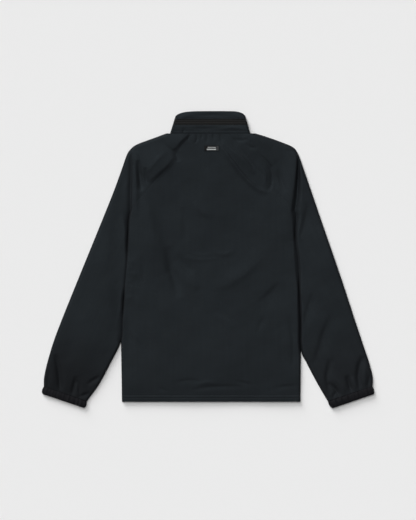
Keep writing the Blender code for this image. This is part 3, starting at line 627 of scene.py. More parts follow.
# %% Height of the upper cloth
UPPER_FOLDS = SHOULDER_FOLDS + BODY_FOLDS + SLEEVE_FOLDS + CUFF_FOLDS + NECK_GATHERS + SIDE_PUCKERS
FOLD_STEPS = 6
FOLD_TAPER = 0.75
FOLD_SPAN = 2.6
UNEVEN_SIZES = ((170.0, 0.5), (70.0, 0.14), (30.0, 0.03))
UNEVEN_WAVES = 9
UNEVEN_SEED = 5
REST_HEIGHT = 6.4
LOWEST_TOP = 2.4


def fold_heights(points, folds):
    """Sum of the folds' heights at points of the plan."""
    height = np.zeros(len(points))
    for fold in folds:
        line = curve_through(fold.path, FOLD_STEPS)
        margin = FOLD_SPAN * max(fold.left, fold.right)
        near = np.all((points > line.min(0) - margin) & (points < line.max(0) + margin), axis=1)
        if near.any():
            apart, along, side = nearest(points[near], line)
            reach = np.where(side > 0, fold.left, fold.right)
            taper = np.sin(math.pi * along) ** FOLD_TAPER
            height[near] += fold.height * taper * np.exp(-(apart / reach) ** 2)
    return height


def uneven(points):
    """Slow, faint unevenness: waves of one size that cross at many angles."""
    chance = np.random.default_rng(UNEVEN_SEED)
    height = np.zeros(len(points))
    for size, amount in UNEVEN_SIZES:
        for angle, phase in chance.uniform(0, 2 * math.pi, (UNEVEN_WAVES, 2)):
            along = points @ np.array((math.cos(angle), math.sin(angle)))
            height += amount / math.sqrt(UNEVEN_WAVES) * np.sin(2 * math.pi * along / size + phase)
    return height


def lofted(points):
    """Height of the upper cloth before its edges are rolled down."""
    height = REST_HEIGHT + uneven(points) + fold_heights(points, UPPER_FOLDS)
    for loft in LOFTS:
        away = (points - (loft.x, loft.y)) / (loft.reach_x, loft.reach_y)
        height = height + loft.height * np.exp(-(away ** 2).sum(1))
    return np.maximum(height, LOWEST_TOP)


def roll(distance, radius):
    """Rounded edge: 0 at the edge itself, 1 from the radius inwards."""
    left = 1 - np.clip(distance / radius, 0, 1)
    return np.sqrt(1 - left ** 2)


def pressed(points, height, line, depth, reach, edge, rise=ROUNDED):
    """Lower the cloth to an edge height towards a line, which it rises from as the two powers say."""
    apart, _, _ = nearest(points, line)
    left = 1 - np.clip(apart / reach, 0, 1)
    return edge + (height - edge) * (1 - depth * (1 - (1 - left ** rise.crest) ** rise.foot))


print("folds placed by hand:", len(UPPER_FOLDS))

# %% [markdown]
# ## Making a cloth shell
# A shell is a grid of quads laid on rows of points, welded where its edges meet, and thickened by a
# Solidify modifier. That keeps the wall even however the cloth lies. A real taffeta is a tenth of a
# millimetre thick. The shell is drawn at 0.7 mm so that its cut edges still catch light in a render.

# %% Grid to shell
SHELL_WALL = 0.7
WELD = 0.000001


def across(start, end, distances):
    """Points of the plan at the given distances from start towards end."""
    run = end - start
    return start + distances[:, None] * run / np.linalg.norm(run)


def spread(width, edge, middle):
    """Distances across a width: close at both edges, even between."""
    edge = np.array(edge)
    inside = np.linspace(edge[-1], width - edge[-1], middle + 2)[1:-1]
    return np.concatenate((edge, inside, width - edge[::-1]))


def with_height(points, height):
    return np.column_stack((points, np.broadcast_to(height, len(points))))


def add_piece(name, mesh, material, node=None):
    """Put a mesh in the scene on the one body, standing for a solid where one is named."""
    mesh.materials.append(material)
    piece = bpy.data.objects.new(name, mesh)
    scene.collection.objects.link(piece)
    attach(piece, "root")
    if node:
        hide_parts(node)
    return piece


def grid_mesh(name, rows, flip=False):
    """A smooth mesh of quads on rows of points in millimetres."""
    rows = np.array(rows)
    count, width = rows.shape[:2]
    index = np.arange(count * width).reshape(count, width)
    corners = (index[:-1, :-1], index[:-1, 1:], index[1:, 1:], index[1:, :-1])
    quads = np.stack(corners, axis=-1).reshape(-1, 4)
    if flip:
        quads = quads[:, ::-1]
    mesh = bpy.data.meshes.new(name)
    mesh.from_pydata((rows.reshape(-1, 3) * MM).tolist(), [], quads.tolist())
    shape = bmesh.new()
    shape.from_mesh(mesh)
    bmesh.ops.remove_doubles(shape, verts=shape.verts, dist=WELD)
    shape.to_mesh(mesh)
    shape.free()
    mesh.shade_smooth()
    return mesh


def cloth_shell(name, rows, material, node, flip=False, wall=SHELL_WALL):
    """A cloth shell on rows of points of its outer face."""
    piece = add_piece(name, grid_mesh(name, rows, flip), material, node)
    thickness = piece.modifiers.new("cloth wall", "SOLIDIFY")
    thickness.thickness = wall * MM
    thickness.offset = -1
    thickness.use_quality_normals = True
    print(name, "quads:", len(piece.data.polygons))
    return piece


print("cloth drawn in mm:", SHELL_WALL)

# %% [markdown]
# ## Back
# The back runs from the neck seam between the two raglan seams, then straight down to a hem that is
# turned up and sewn with two rows of stitches. The needle pulls a shallow groove along each row, and
# the seams lie a little low. Rows from seam to seam follow the cut, so the edges need no trimming.

# %% The back panel
BODY_EDGE = (0.0, 0.25, 0.8, 1.6, 2.6, 3.9, 5.5, 7.5, 10.0)
BODY_MIDDLE = 114
HEM_STITCHES = (HEM_Y + 9.2, HEM_Y + 15.6)
HEM_RISE = 0.4
HEM_BLEND = 0.8
EDGE_HEIGHT = 1.8
GROOVE_DEPTH = 0.24
GROOVE_REACH = 1.5
SEAM_DIP = 0.12
SEAM_REACH = 2.0


def groove(distance):
    """The shallow valley that a row of stitches pulls into cloth."""
    return GROOVE_DEPTH * np.exp(-(distance / GROOVE_REACH) ** 2)


def back_height(points):
    """Outer face of the back panel over points of the plan."""
    height = lofted(points)
    height = height + HEM_RISE / (1 + np.exp((points[:, 1] - HEM_STITCHES[1]) / HEM_BLEND))
    for y in HEM_STITCHES:
        height = height - groove(points[:, 1] - y)
    for side in (LEFT, RIGHT):
        height = side.creased(points, height, side.body_crease, EDGE_HEIGHT + SIDE_LAYER)
    return height


def body_lines(line_name, overlap):
    """Pairs of plan points, left and right, down the body from the neck to the hem."""
    ends = []
    for side in (LEFT, RIGHT):
        seam = side.seam(getattr(side, line_name), SEWN_GAP / 2)
        crease = side.body_edge[:PARTING - UNDERARM + 1] - side.inward * overlap / 2
        tail = curve_through(side.body_edge[PARTING - UNDERARM:], STEPS) - side.inward * overlap / 2
        ends.append(np.vstack((seam[:-1], crease, tail[1:])))
    return ends


def seam_dip(distance):
    return SEAM_DIP * np.exp(-(distance / SEAM_REACH) ** 2)


plan, dips = [], []
for index, (start, end) in enumerate(zip(*body_lines("back", SIDE_OVERLAP))):
    width = np.linalg.norm(end - start)
    distances = spread(width, BODY_EDGE, BODY_MIDDLE)
    plan.append(across(start, end, distances))
    sewn = float(index < UNDERARM)
    dips.append(sewn * (seam_dip(distances) + seam_dip(width - distances)))
plan = np.vstack(plan)
height = back_height(plan) - np.concatenate(dips)
rows = with_height(plan, height).reshape(len(dips), -1, 3)
back = cloth_shell("back_cloth", rows, body_nylon, "back_panel", flip=True)

# %% [markdown]
# ## Fronts
# The fronts lie under the back, flat on the floor, and meet at the zip. They only show from below, so
# they are plain, with a few shallow creases that lift them a little off the floor. Every second row of
# the cut is enough for them.

# %% The two fronts
FRONT_COLUMNS = 44
FRONT_ROW_STEP = 2
FRONT_ZIP_WIDTH = 11.0
FRONT_FOLDS = (
    Fold(((-150, 160), (-110, 110), (-70, 84)), 9, 14, 0.8),
    Fold(((-60, 40), (-96, -30), (-100, -110)), 12, 9, 0.7),
    Fold(((-180, -60), (-140, -120), (-130, -200)), 10, 13, 0.8),
    Fold(((-80, -250), (-120, -290), (-190, -300)), 8, 10, 0.6),
    Fold(((160, 150), (116, 104), (60, 90)), 12, 9, 0.8),
    Fold(((70, 20), (110, -50), (104, -140)), 9, 13, 0.7),
    Fold(((196, -90), (160, -150), (150, -230)), 12, 9, 0.8),
    Fold(((60, -270), (110, -300), (180, -296)), 9, 8, 0.6),
)


def front_height(points):
    """Lower face of the fronts: flat on the floor but for creases and the hem's stitch grooves."""
    lift = fold_heights(points, FRONT_FOLDS)
    for y in HEM_STITCHES:
        lift = lift + groove(points[:, 1] - y)
    return lift


def make_front(name, lines, edge_x, node, flip):
    plan = []
    for index in range(0, len(lines), FRONT_ROW_STEP):
        outer = lines[index]
        share = min(index / UNDERARM, 1.0)
        inner_y = FRONT_NECK_Y + share * (lines[UNDERARM][1] - FRONT_NECK_Y) if share < 1 else outer[1]
        across_share = np.linspace(0, 1, FRONT_COLUMNS + 1)[:, None]
        plan.append(np.array((edge_x, inner_y)) * (1 - across_share) + outer * across_share)
    plan = np.vstack(plan)
    rows = with_height(plan, front_height(plan)).reshape(-1, FRONT_COLUMNS + 1, 3)
    return cloth_shell(name, rows, body_nylon, node, flip)


front_lines = body_lines("front", -SIDE_GAP)
front_edge = FRONT_ZIP_WIDTH / 2 + SEAM_GAP
front_left = make_front("front_left_cloth", front_lines[0], CENTRE_X - front_edge, "front_left", True)
front_right = make_front("front_right_cloth", front_lines[1], CENTRE_X + front_edge, "front_right", False)

# %% [markdown]
# ## Sleeves
# A raglan sleeve is one cloth, folded along its outer edge and joined under the arm, so its rows are
# rings: over the back, round the edge, and back along the floor. A tube squashed flat would have even
# sides. Rings let the upper side hold the folds while the lower one rests.

# %% The two sleeves
SLEEVE_EDGE = (0.0, 0.25, 0.8, 1.6, 2.6, 3.9, 5.5, 7.5)
SLEEVE_MIDDLE = 52
UNDER_EDGE = (0.0, 0.3, 0.9, 1.7, 2.6)
UNDER_MIDDLE = 16
OUTER_EDGE_HEIGHT = 3.0
OUTER_ROLL = 8.0
LOWER_ROLL = 3.0
CUFF_JOIN_HEIGHT = 6.0
CUFF_REACH = 11.0
CUFF_DRAW = 0.75
SLEEVE_UNDER_FOLDS = (
    Fold(((-232, 130), (-262, 60), (-256, -20)), 10, 8, 0.7),
    Fold(((-300, -80), (-280, -150), (-290, -220)), 9, 12, 0.8),
    Fold(((-340, -260), (-350, -300), (-352, -334)), 6, 6, 0.8),
    Fold(((250, 130), (280, 60), (270, -20)), 8, 10, 0.7),
    Fold(((316, -80), (292, -150), (306, -220)), 12, 9, 0.8),
    Fold(((346, -260), (356, -300), (358, -334)), 6, 6, 0.8),
)


def sleeve_height(points, side):
    """Outer face of a sleeve's back over points of the plan."""
    height = side.creased(points, lofted(points), side.sleeve_crease, EDGE_HEIGHT)
    height = pressed(points, height, side.outer, 1.0, OUTER_ROLL, OUTER_EDGE_HEIGHT)
    apart, _, _ = nearest(points, np.array((side.back[-1], side.outer[-1])))
    drawn_in = CUFF_DRAW * np.exp(-(apart / CUFF_REACH) ** 2)
    return height + drawn_in * (CUFF_JOIN_HEIGHT - height)


def make_sleeve(name, side, material, node, flip):
    back = side.back.copy()
    back[:UNDERARM] = side.seam(side.back, -SEWN_GAP / 2)[:-1]
    back[UNDERARM:] = back[UNDERARM:] - side.inward * SIDE_GAP / 2
    front = side.front.copy()
    front[:UNDERARM] = side.seam(side.front, -SEWN_GAP / 2)[:-1]
    front[UNDERARM:] = back[UNDERARM:]
    front[0] = side.front[0] - side.inward * SEAM_GAP
    upper, dips = [], []
    for index, outer in enumerate(side.outer):
        sewn = index < UNDERARM
        distances = spread(np.linalg.norm(outer - back[index]), SLEEVE_EDGE, SLEEVE_MIDDLE)
        upper.append(across(back[index], outer, distances))
        dips.append(sewn * seam_dip(distances))
    count = len(upper)
    upper = np.vstack(upper)
    upper = with_height(upper, sleeve_height(upper, side) - np.concatenate(dips)).reshape(count, -1, 3)
    under, turned_up = [], []
    for index, outer in enumerate(side.outer):
        width = np.linalg.norm(outer - front[index])
        distances = spread(width, UNDER_EDGE, UNDER_MIDDLE)[1:]
        under.append(across(outer, front[index], distances))
        inner_edge = 0.0 if index < UNDERARM else upper[index, 0, 2]
        turned_up.append(upper[index, -1, 2] * (1 - roll(distances, LOWER_ROLL))
                         + inner_edge * (1 - roll(width - distances, LOWER_ROLL)))
    under = np.vstack(under)
    under = with_height(under, np.concatenate(turned_up) + fold_heights(under, SLEEVE_UNDER_FOLDS))
    rows = np.hstack((upper, under.reshape(count, -1, 3)))
    return cloth_shell(name, rows, material, node, flip)


sleeve_left = make_sleeve("sleeve_left_cloth", LEFT, left_nylon, "sleeve_left", False)
sleeve_right = make_sleeve("sleeve_right_cloth", RIGHT, right_nylon, "sleeve_right", True)

# %% [markdown]
# ## Elastic cuffs
# Each cuff is a casing of the same nylon round a band of elastic, which gathers it into ripples. A
# flattened ring does it: ripples of uneven size on the upper side, flat where it rests. Waves of three
# lengths that drift make the ripples, as one even wave would look like corrugated card. Gathered nylon
# scatters its sheen, so the cuffs are less glossy and their sheen more neutral. Their darker black is
# painted shade.

# %% Lines and finish of the cuffs
CuffLine = namedtuple("CuffLine", "inner_x inner_y outer_x outer_y height")
LEFT_CUFF = (
    CuffLine(-308.9, -359.8, -418.1, -320.8, 4.4),
    CuffLine(-309.8, -361.9, -418.8, -322.9, 6.4),
    CuffLine(-309.4, -367.2, -422.4, -329.6, 7.2),
    CuffLine(-311.6, -373.2, -423.4, -337.2, 7),
    CuffLine(-315.8, -377, -421.4, -341.6, 6.2),
)
RIGHT_CUFF = (
    CuffLine(305.5, -359.8, 418.9, -320.4, 4.4),
    CuffLine(306.3, -361.9, 419.5, -322.4, 6.4),
    CuffLine(307.6, -367.6, 422.6, -329.2, 7.2),
    CuffLine(311.4, -373.4, 423.6, -337, 7),
    CuffLine(316.8, -377.6, 422.2, -341.8, 6.2),
)
# A darker copy of the shell's black: painted shade of the gathered cuffs.
CUFF_SHADED_BLACK = ("#101012", "#131315")
CUFF_GRAIN = 70.0
CUFF_ROUGHNESS = (0.5, 0.6)
CUFF_SPECULAR = 0.085
CUFF_SHEEN = "#EFF1FA"
cuff_nylon = nylon_taffeta("gathered_nylon_cuff", *CUFF_SHADED_BLACK, CUFF_GRAIN, CUFF_ROUGHNESS, CUFF_SPECULAR,
                           CUFF_SHEEN)
print("lines along a cuff:", len(LEFT_CUFF))

# %% The two cuffs
CUFF_STEPS = 6
CUFF_WALL = 1.0
CUFF_EDGE = (0.0, 0.05, 0.15, 0.32, 0.55, 0.8, 1.0)
CUFF_MIDDLE = 90
CUFF_UNDER_MIDDLE = 20
CUFF_DRIFT = 0.3
CUFF_LEAN = 0.25
CuffWave = namedtuple("CuffWave", "count shift height")
CUFF_WAVES = (CuffWave(5.3, 0.1, 0.3), CuffWave(8.7, 0.6, 0.3), CuffWave(14.9, 0.3, 0.2))
LEFT_PHASE = 0.15
RIGHT_PHASE = 0.6


def cuff_ripple(share, row_share, phase):
    """Ripples across a cuff, uneven as waves of several lengths meet."""
    ripple = 0.0
    for wave in CUFF_WAVES:
        drift = CUFF_DRIFT * np.sin(2 * math.pi * (share + phase + wave.shift))
        drift = drift + CUFF_LEAN * row_share * wave.shift
        ripple = ripple + wave.height * np.cos(2 * math.pi * (wave.count * share + drift + phase))
    return ripple


def make_cuff(name, lines, node, phase, flip):
    rows = []
    sections = curve_through(lines, CUFF_STEPS)
    for index, section in enumerate(sections):
        inner, outer, full = section[0:2], section[2:4], section[4]
        width = np.linalg.norm(outer - inner)
        edge = full / 2
        distances = spread(width, edge * np.array(CUFF_EDGE), CUFF_MIDDLE)
        edges = roll(np.minimum(distances, width - distances), edge)
        ripple = cuff_ripple(distances / width, index / (len(sections) - 1), phase)
        upper = with_height(across(inner, outer, distances), full / 2 + (full / 2 + ripple) * edges)
        under_distances = spread(width, edge * np.array(CUFF_EDGE), CUFF_UNDER_MIDDLE)
        under_edges = roll(np.minimum(under_distances, width - under_distances), edge)
        under = with_height(across(outer, inner, under_distances), full / 2 * (1 - under_edges))
        rows.append(np.vstack((upper, under[1:])))
    return cloth_shell(name, rows, cuff_nylon, node, flip, wall=CUFF_WALL)


cuff_left = make_cuff("cuff_left_band", LEFT_CUFF, "cuff_left", LEFT_PHASE, False)
cuff_right = make_cuff("cuff_right_band", RIGHT_CUFF, "cuff_right", RIGHT_PHASE, True)

# %% [markdown]
# ## Collar
# The stand collar goes right round the neck, so laid flat it is a band folded at both sides. A zip
# across it splits it in two: a lower band from the neck seam and an upper band to the top edge. Lines
# from the neck to the top edge, one after another round the neck, give such a band with few numbers.

# %% Lines of the collar
CollarLine = namedtuple("CollarLine", "base_x base_y top_x top_y")
COLLAR_TUCK = 0.9
COLLAR_BASE_Y = NECK_Y - COLLAR_TUCK
COLLAR_FRONT_Y = FRONT_NECK_Y + 2 * SEAM_GAP
LEFT_COLLAR_FRONT = (
    CollarLine(1, COLLAR_FRONT_Y, 1, 320),
    CollarLine(-34, 276.4, -30, 331),
    CollarLine(-69.6, 290.6, -58, 347),
    CollarLine(-84, 305.2, -72, 357),
)
COLLAR_BACK = (
    CollarLine(-92, COLLAR_BASE_Y, -76.8, 371),
    CollarLine(-84, COLLAR_BASE_Y, -70, 373.8),
    CollarLine(-68, COLLAR_BASE_Y, -57, 377),
    CollarLine(-40, COLLAR_BASE_Y, -34, 378.8),
    CollarLine(7, COLLAR_BASE_Y, 7, 379.2),
    CollarLine(54, COLLAR_BASE_Y, 47, 379.2),
    CollarLine(82, COLLAR_BASE_Y, 70, 378.5),
    CollarLine(96, COLLAR_BASE_Y, 82.6, 375.6),
    CollarLine(102.8, COLLAR_BASE_Y, 89.4, 372.6),
)
RIGHT_COLLAR_FRONT = (
    CollarLine(98, 305.2, 86, 357),
    CollarLine(83.6, 290.6, 72, 347),
    CollarLine(48, 276.4, 44, 331),
    CollarLine(13, COLLAR_FRONT_Y, 13, 320),
)
LEFT_COLLAR_FOLD = CollarLine(-97.0, COLLAR_BASE_Y, -83.2, 365.5)
RIGHT_COLLAR_FOLD = CollarLine(107.9, COLLAR_BASE_Y, 95.4, 366.5)
print("lines across the back of the collar:", len(COLLAR_BACK))

# %% [markdown]
# ## Stations round the collar
# A station is one such line with two more numbers: how far it has turned from the front to the back,
# and whether an end of the zip reaches it. At both sides the collar folds over in a half circle, so a
# few stations are set round it, and a smooth curve through all of them fills in the rest.

# %% Stations of the bands and the zip
COLLAR_HEIGHT = 10.4
COLLAR_TURNS = (-0.72, -0.4, 0.0, 0.4, 0.72)
COLLAR_FOLD_DEPTH = 0.8
STATION_STEPS = 7
Station = namedtuple("Station", "base_x base_y top_x top_y turn zip_end")


def collar_stations():
    """Stations round the collar; turn goes from -1 on the fronts to 1 on the back."""
    stations = []

    def lay(lines, turn, zip_end=None):
        stations.extend(Station(*line, turn, float(line == zip_end)) for line in lines)

    def fold_over(fold, back, inward, turns):
        for turn in turns:
            shift = inward * COLLAR_HEIGHT * COLLAR_FOLD_DEPTH * (1 - math.cos(turn * math.pi / 2))
            rise = (back.top_y - fold.top_y) * math.sin(max(turn, 0.0) * math.pi / 2) ** 2
            moved = CollarLine(fold.base_x + shift, fold.base_y, fold.top_x + shift, fold.top_y + rise)
            stations.append(Station(*moved, turn, 1.0))

    lay(LEFT_COLLAR_FRONT, -1.0, LEFT_COLLAR_FRONT[-1])
    fold_over(LEFT_COLLAR_FOLD, COLLAR_BACK[0], 1.0, COLLAR_TURNS)
    lay(COLLAR_BACK, 1.0)
    fold_over(RIGHT_COLLAR_FOLD, COLLAR_BACK[-1], -1.0, COLLAR_TURNS[::-1])
    lay(RIGHT_COLLAR_FRONT, -1.0, RIGHT_COLLAR_FRONT[0])
    return stations


stations = [Station(*row) for row in curve_through(collar_stations(), STATION_STEPS)]
print("collar stations:", len(stations))

# %% [markdown]
# ## Collar bands
# The bands puff out a little, as a hood is stowed inside. Every station gives a row of points up the
# band, lifted as far as it has turned to the back, so one function makes both bands and the zip.

# %% Points of the collar's outer face
COLLAR_TAPER = -1.0
COLLAR_PUFF = 0.5
HOOD_ZIP_LOW_Y = 344.3
HOOD_ZIP_HIGH_Y = 358.3
HOOD_ZIP_END_SHARE = 0.04
FRONT_SEAM_SHARE = 0.5
LAST_TURN = COLLAR_TURNS[-1]


def zip_shares(station):
    """Shares of the collar's height between which the hood zip lies: a plain seam on the fronts."""
    rise = station.top_y - station.base_y
    low = (HOOD_ZIP_LOW_Y - station.base_y) / rise
    high = (HOOD_ZIP_HIGH_Y - station.base_y) / rise
    front = np.clip((-station.turn - LAST_TURN) / (1 - LAST_TURN), 0, 1)
    half = HOOD_ZIP_END_SHARE * np.clip(station.zip_end, 0, 1)
    gap = SEAM_GAP / 2 / math.hypot(station.top_x - station.base_x, rise)
    low = low + front * (FRONT_SEAM_SHARE - half - low)
    high = high + front * (FRONT_SEAM_SHARE + half - high)
    return low, high, gap


def collar_points(station, shares, relief):
    """Points of the collar's outer face at shares of its height, with relief where it faces up."""
    base = np.array((station.base_x, station.base_y))
    top = np.array((station.top_x, station.top_y))
    plan = base + shares[:, None] * (top - base)
    full = COLLAR_HEIGHT - COLLAR_TAPER * shares + COLLAR_PUFF * np.sin(math.pi * shares)
    turn = math.sin(np.clip(station.turn, -1, 1) * math.pi / 2)
    return with_height(plan, full / 2 + full / 2 * turn + relief(plan, shares, base, top) * max(turn, 0.0))


print("hood zip width in mm:", round(HOOD_ZIP_HIGH_Y - HOOD_ZIP_LOW_Y, 1))

# %% [markdown]
# ## Relief and edges of the collar
# The lower band is turned in at the neck seam. The upper band's top edge is a fold: it rounds off and
# turns down at the back to the floor. Rows of stitches hold the zip on both sides, each in its groove.

# %% The lower and upper bands
COLLAR_ROWS = 16
COLLAR_WALL = 1.0
TOP_ROLL = 4.0
TOP_DROP = 0.8
TOP_TURN = 1.2
TOP_EDGE_HEIGHT = 0.6
TOP_EDGE_STEPS = 4
NECK_ROLL = 1.6
NECK_DROP = 1.2
COLLAR_STITCH_GAP = 2.0
NECK_STITCH_Y = 329.0
COLLAR_FOLDS = (
    Fold(((-66, 320), (-62, 328), (-62, 338)), 3, 5, -1),
    Fold(((-82, 352), (-60, 366), (-30, 372)), 5, 7, 0.7),
    Fold(((60, 372), (80, 366), (94, 352)), 5, 7, 0.7),
    Fold(((-44, 336), (-10, 334), (28, 337)), 4, 4, -0.5),
    Fold(((30, 333), (62, 337), (96, 333)), 4, 4, 0.5),
    Fold(((-24, 366), (12, 370), (44, 365)), 4, 4, -0.5),
)
COLLAR_UNEVEN = 0.6


def lower_relief(plan, shares, base, top):
    length = np.linalg.norm(top - base)
    edge = NECK_DROP * (roll(shares * length, NECK_ROLL) - 1)
    sewn = -groove(plan[:, 1] - NECK_STITCH_Y) - groove(plan[:, 1] - HOOD_ZIP_LOW_Y + COLLAR_STITCH_GAP)
    return edge + sewn + fold_heights(plan, COLLAR_FOLDS) + COLLAR_UNEVEN * uneven(plan)


def upper_relief(plan, shares, base, top):
    length = np.linalg.norm(top - base)
    edge = TOP_DROP * (roll((1 - shares) * length, TOP_ROLL) - 1)
    sewn = -groove(plan[:, 1] - HOOD_ZIP_HIGH_Y - COLLAR_STITCH_GAP)
    return edge + sewn + fold_heights(plan, COLLAR_FOLDS) + COLLAR_UNEVEN * uneven(plan)


def turned_edge(station, points):
    """The top edge: turned down to the floor at the back, and level at the front."""
    run = points[-1, :2] - points[0, :2]
    upward = (1 + math.sin(np.clip(station.turn, -1, 1) * math.pi / 2)) / 2
    step = np.linspace(0, 1, TOP_EDGE_STEPS + 1)[1:]
    plan = points[-1, :2] + (step * TOP_TURN * (1 - upward))[:, None] * run / np.linalg.norm(run)
    return with_height(plan, points[-1, 2] - step * upward * (points[-1, 2] - TOP_EDGE_HEIGHT))


def collar_band(name, node, lower):
    rows = []
    for station in stations:
        low, high, gap = zip_shares(station)
        first, last = (0.0, low - gap) if lower else (high + gap, 1.0)
        shares = first + (last - first) * np.linspace(0, 1, COLLAR_ROWS + 1)
        points = collar_points(station, shares, lower_relief if lower else upper_relief)
        rows.append(points if lower else np.vstack((points, turned_edge(station, points))))
    return cloth_shell(name, rows, body_nylon, node, flip=True, wall=COLLAR_WALL)


collar_lower = collar_band("collar_lower_band", "collar_lower", True)
collar_upper = collar_band("collar_upper_band", "collar_upper", False)

# %% [markdown]
# ## Zip tape
# Zip tape is woven polyester, matte and a little warmer than the nylon. Its ribs run across, about
# 0.5 mm apart, drawn here at 1 mm so that they show. A wave texture gives them with no extra geometry.

# %% Woven polyester tape
POLYESTER_IOR = 1.57
RIB_SPECULAR = 0.5
RIB_BUMP = {"Strength": 0.5, "Distance": 0.2 * MM}
FUZZ_RIBS = 4
FUZZ_DETAIL = 3.0
TAPE_RIB = 1.0
TAPE_BLACK = ("#171717", "#1B1B1B")
TAPE_ROUGHNESS = (0.62, 0.75)
TAPE_SPECULAR = 0.12


def ribbed_weave(name, dark, light, rib, axis, roughness, specular=RIB_SPECULAR):
    """A close ribbed weave, with ribs along X or Y."""
    material, tree, shader = new_material(name)
    places = add_node(tree, "TexCoord").outputs["Object"]
    ribs = add_node(tree, "TexWave", {"Scale": WAVE_PERIOD / (rib * MM)}, {0: places}, bands_direction=axis)
    fuzz = add_node(tree, "TexNoise", {"Scale": 1 / (FUZZ_RIBS * rib * MM), "Detail": FUZZ_DETAIL},
                    {0: places})
    tone = add_node(tree, "ValToRGB", links={0: fuzz.outputs[0]})
    for element, code in zip(tone.color_ramp.elements, (dark, light)):
        element.color = linear(code)
    gloss = add_node(tree, "MapRange", {"To Min": roughness[0], "To Max": roughness[1]},
                     {0: fuzz.outputs[0]})
    bump = add_node(tree, "Bump", RIB_BUMP, {"Height": ribs.outputs["Fac"]})
    set_inputs(tree, shader, {"IOR": POLYESTER_IOR, "Specular IOR Level": specular},
               {"Base Color": tone.outputs[0], "Roughness": gloss.outputs[0], "Normal": bump.outputs[0]})
    return material


tape_weave = ribbed_weave("woven_polyester_zip_tape", *TAPE_BLACK, TAPE_RIB, "X", TAPE_ROUGHNESS,
                          TAPE_SPECULAR)
print("ribs of the tape drawn in mm:", TAPE_RIB)

# %% [markdown]
# ## Hood zip
# The hood zip is sewn in face down, so its two tape edges show and not its coil, which lifts them on
# both sides of the line where they meet. The collar's own stations carry it, so it bends with them.

# %% The hood zip
HOOD_ZIP_ROWS = 22
HOOD_ZIP_WALL = 0.8
HOOD_ZIP_END = 0.5
HOOD_ZIP_TURN = 0.9
HOOD_ZIP_SINK = 0.45
COIL_RIDGE = 0.3
COIL_AT = 2.6
COIL_REACH = 1.5
MEETING_GROOVE = 0.35
MEETING_REACH = 0.6


def tape_relief(plan, shares, base, top):
    """Two tape edges meeting over the hidden coil, which lifts them on both sides of the middle."""
    middle = (HOOD_ZIP_LOW_Y + HOOD_ZIP_HIGH_Y) / 2
    off = plan[:, 1] - middle
    ridges = COIL_RIDGE * np.exp(-((np.abs(off) - COIL_AT) / COIL_REACH) ** 2)
    return ridges - MEETING_GROOVE * np.exp(-(off / MEETING_REACH) ** 2) - HOOD_ZIP_SINK


rows = []
for station in stations:
    if station.zip_end < HOOD_ZIP_END and station.turn < HOOD_ZIP_TURN:
        continue
    low, high, gap = zip_shares(station)
    shares = low + gap + (high - low - 2 * gap) * np.linspace(0, 1, HOOD_ZIP_ROWS + 1)
    rows.append(collar_points(station, shares, tape_relief))
hood_zip = cloth_shell("hood_zip_tape", rows, tape_weave, "hood_zip", True, HOOD_ZIP_WALL)

# %% [markdown]
# ## Label
# A small woven label is sewn below the neck. Satin yarns float over each other and give it a soft
# gloss. It is dark, with two plain pale bars and a grey end. Its yarns are drawn at 0.6 mm, coarser than
# real ones. The bars are faces of a second weave on the same grid, so they need no picture.

# %% The label and its bars
LABEL_CENTRE = (9.0, 284.4)
LABEL_SIZE = (38.0, 13.4)
LABEL_GAP = 0.4
LABEL_WALL = 0.6
LABEL_COLUMNS = 76
LABEL_ROWS = 40
Bar = namedtuple("Bar", "left right low high weave")
LABEL_BARS = (
    Bar(-1, 20, 286, 287.6, 1),
    Bar(-3, 20.5, 280.2, 283.4, 1),
    Bar(21.5, 27, 278.6, 290.2, 2),
)
SATIN_RIB = 0.6
SATIN_ROUGHNESS = (0.4, 0.5)
SATIN_SPECULAR = 0.1
SATINS = (
    ("woven_satin_label", "#0C0D0E", "#121314"),
    ("woven_satin_label_bars", "#9C9E9E", "#AAACAC"),
    ("woven_satin_label_end", "#303233", "#3A3C3D"),
)
label_weaves = [ribbed_weave(*satin, SATIN_RIB, "Y", SATIN_ROUGHNESS, SATIN_SPECULAR) for satin in SATINS]
x, y = np.meshgrid(np.linspace(-0.5, 0.5, LABEL_COLUMNS + 1) * LABEL_SIZE[0] + LABEL_CENTRE[0],
                   np.linspace(0.5, -0.5, LABEL_ROWS + 1) * LABEL_SIZE[1] + LABEL_CENTRE[1])
plan = np.column_stack((x.ravel(), y.ravel()))
rows = with_height(plan, back_height(plan) + LABEL_GAP + LABEL_WALL).reshape(LABEL_ROWS + 1, -1, 3)
label = cloth_shell("back_label_weave", rows, label_weaves[0], "back_label", True,
                    LABEL_WALL)
for weave in label_weaves[1:]:
    label.data.materials.append(weave)
for face in label.data.polygons:
    x, y = face.center[0] / MM, face.center[1] / MM
    for bar in LABEL_BARS:
        if bar.left < x < bar.right and bar.low < y < bar.high:
            face.material_index = bar.weave
print("label faces in the bars:", sum(face.material_index > 0 for face in label.data.polygons))

# %% [markdown]
# ## Front zip
# The closed front zip lies under the jacket between the two fronts, where it is hidden from above. It
# has to be there for the jacket to close, so it is a plain coil zip. Its tape is a flat strip.

# %% Tape of the front zip
FRONT_ZIP_TOP = 304.0
FRONT_ZIP_ROWS = 120
FRONT_ZIP_COLUMNS = 8
FRONT_ZIP_WALL = 0.4
FRONT_TAPE_BOTTOM = 0.72
rows = []
for y in np.linspace(HEM_Y, FRONT_ZIP_TOP, FRONT_ZIP_ROWS + 1):
    x = CENTRE_X + np.linspace(-0.5, 0.5, FRONT_ZIP_COLUMNS + 1) * FRONT_ZIP_WIDTH
    rows.append(np.column_stack((x, np.full(len(x), y), np.full(len(x), FRONT_TAPE_BOTTOM))))
front_zip = cloth_shell("front_zip_tape", rows, tape_weave, "front_zip", True, FRONT_ZIP_WALL)

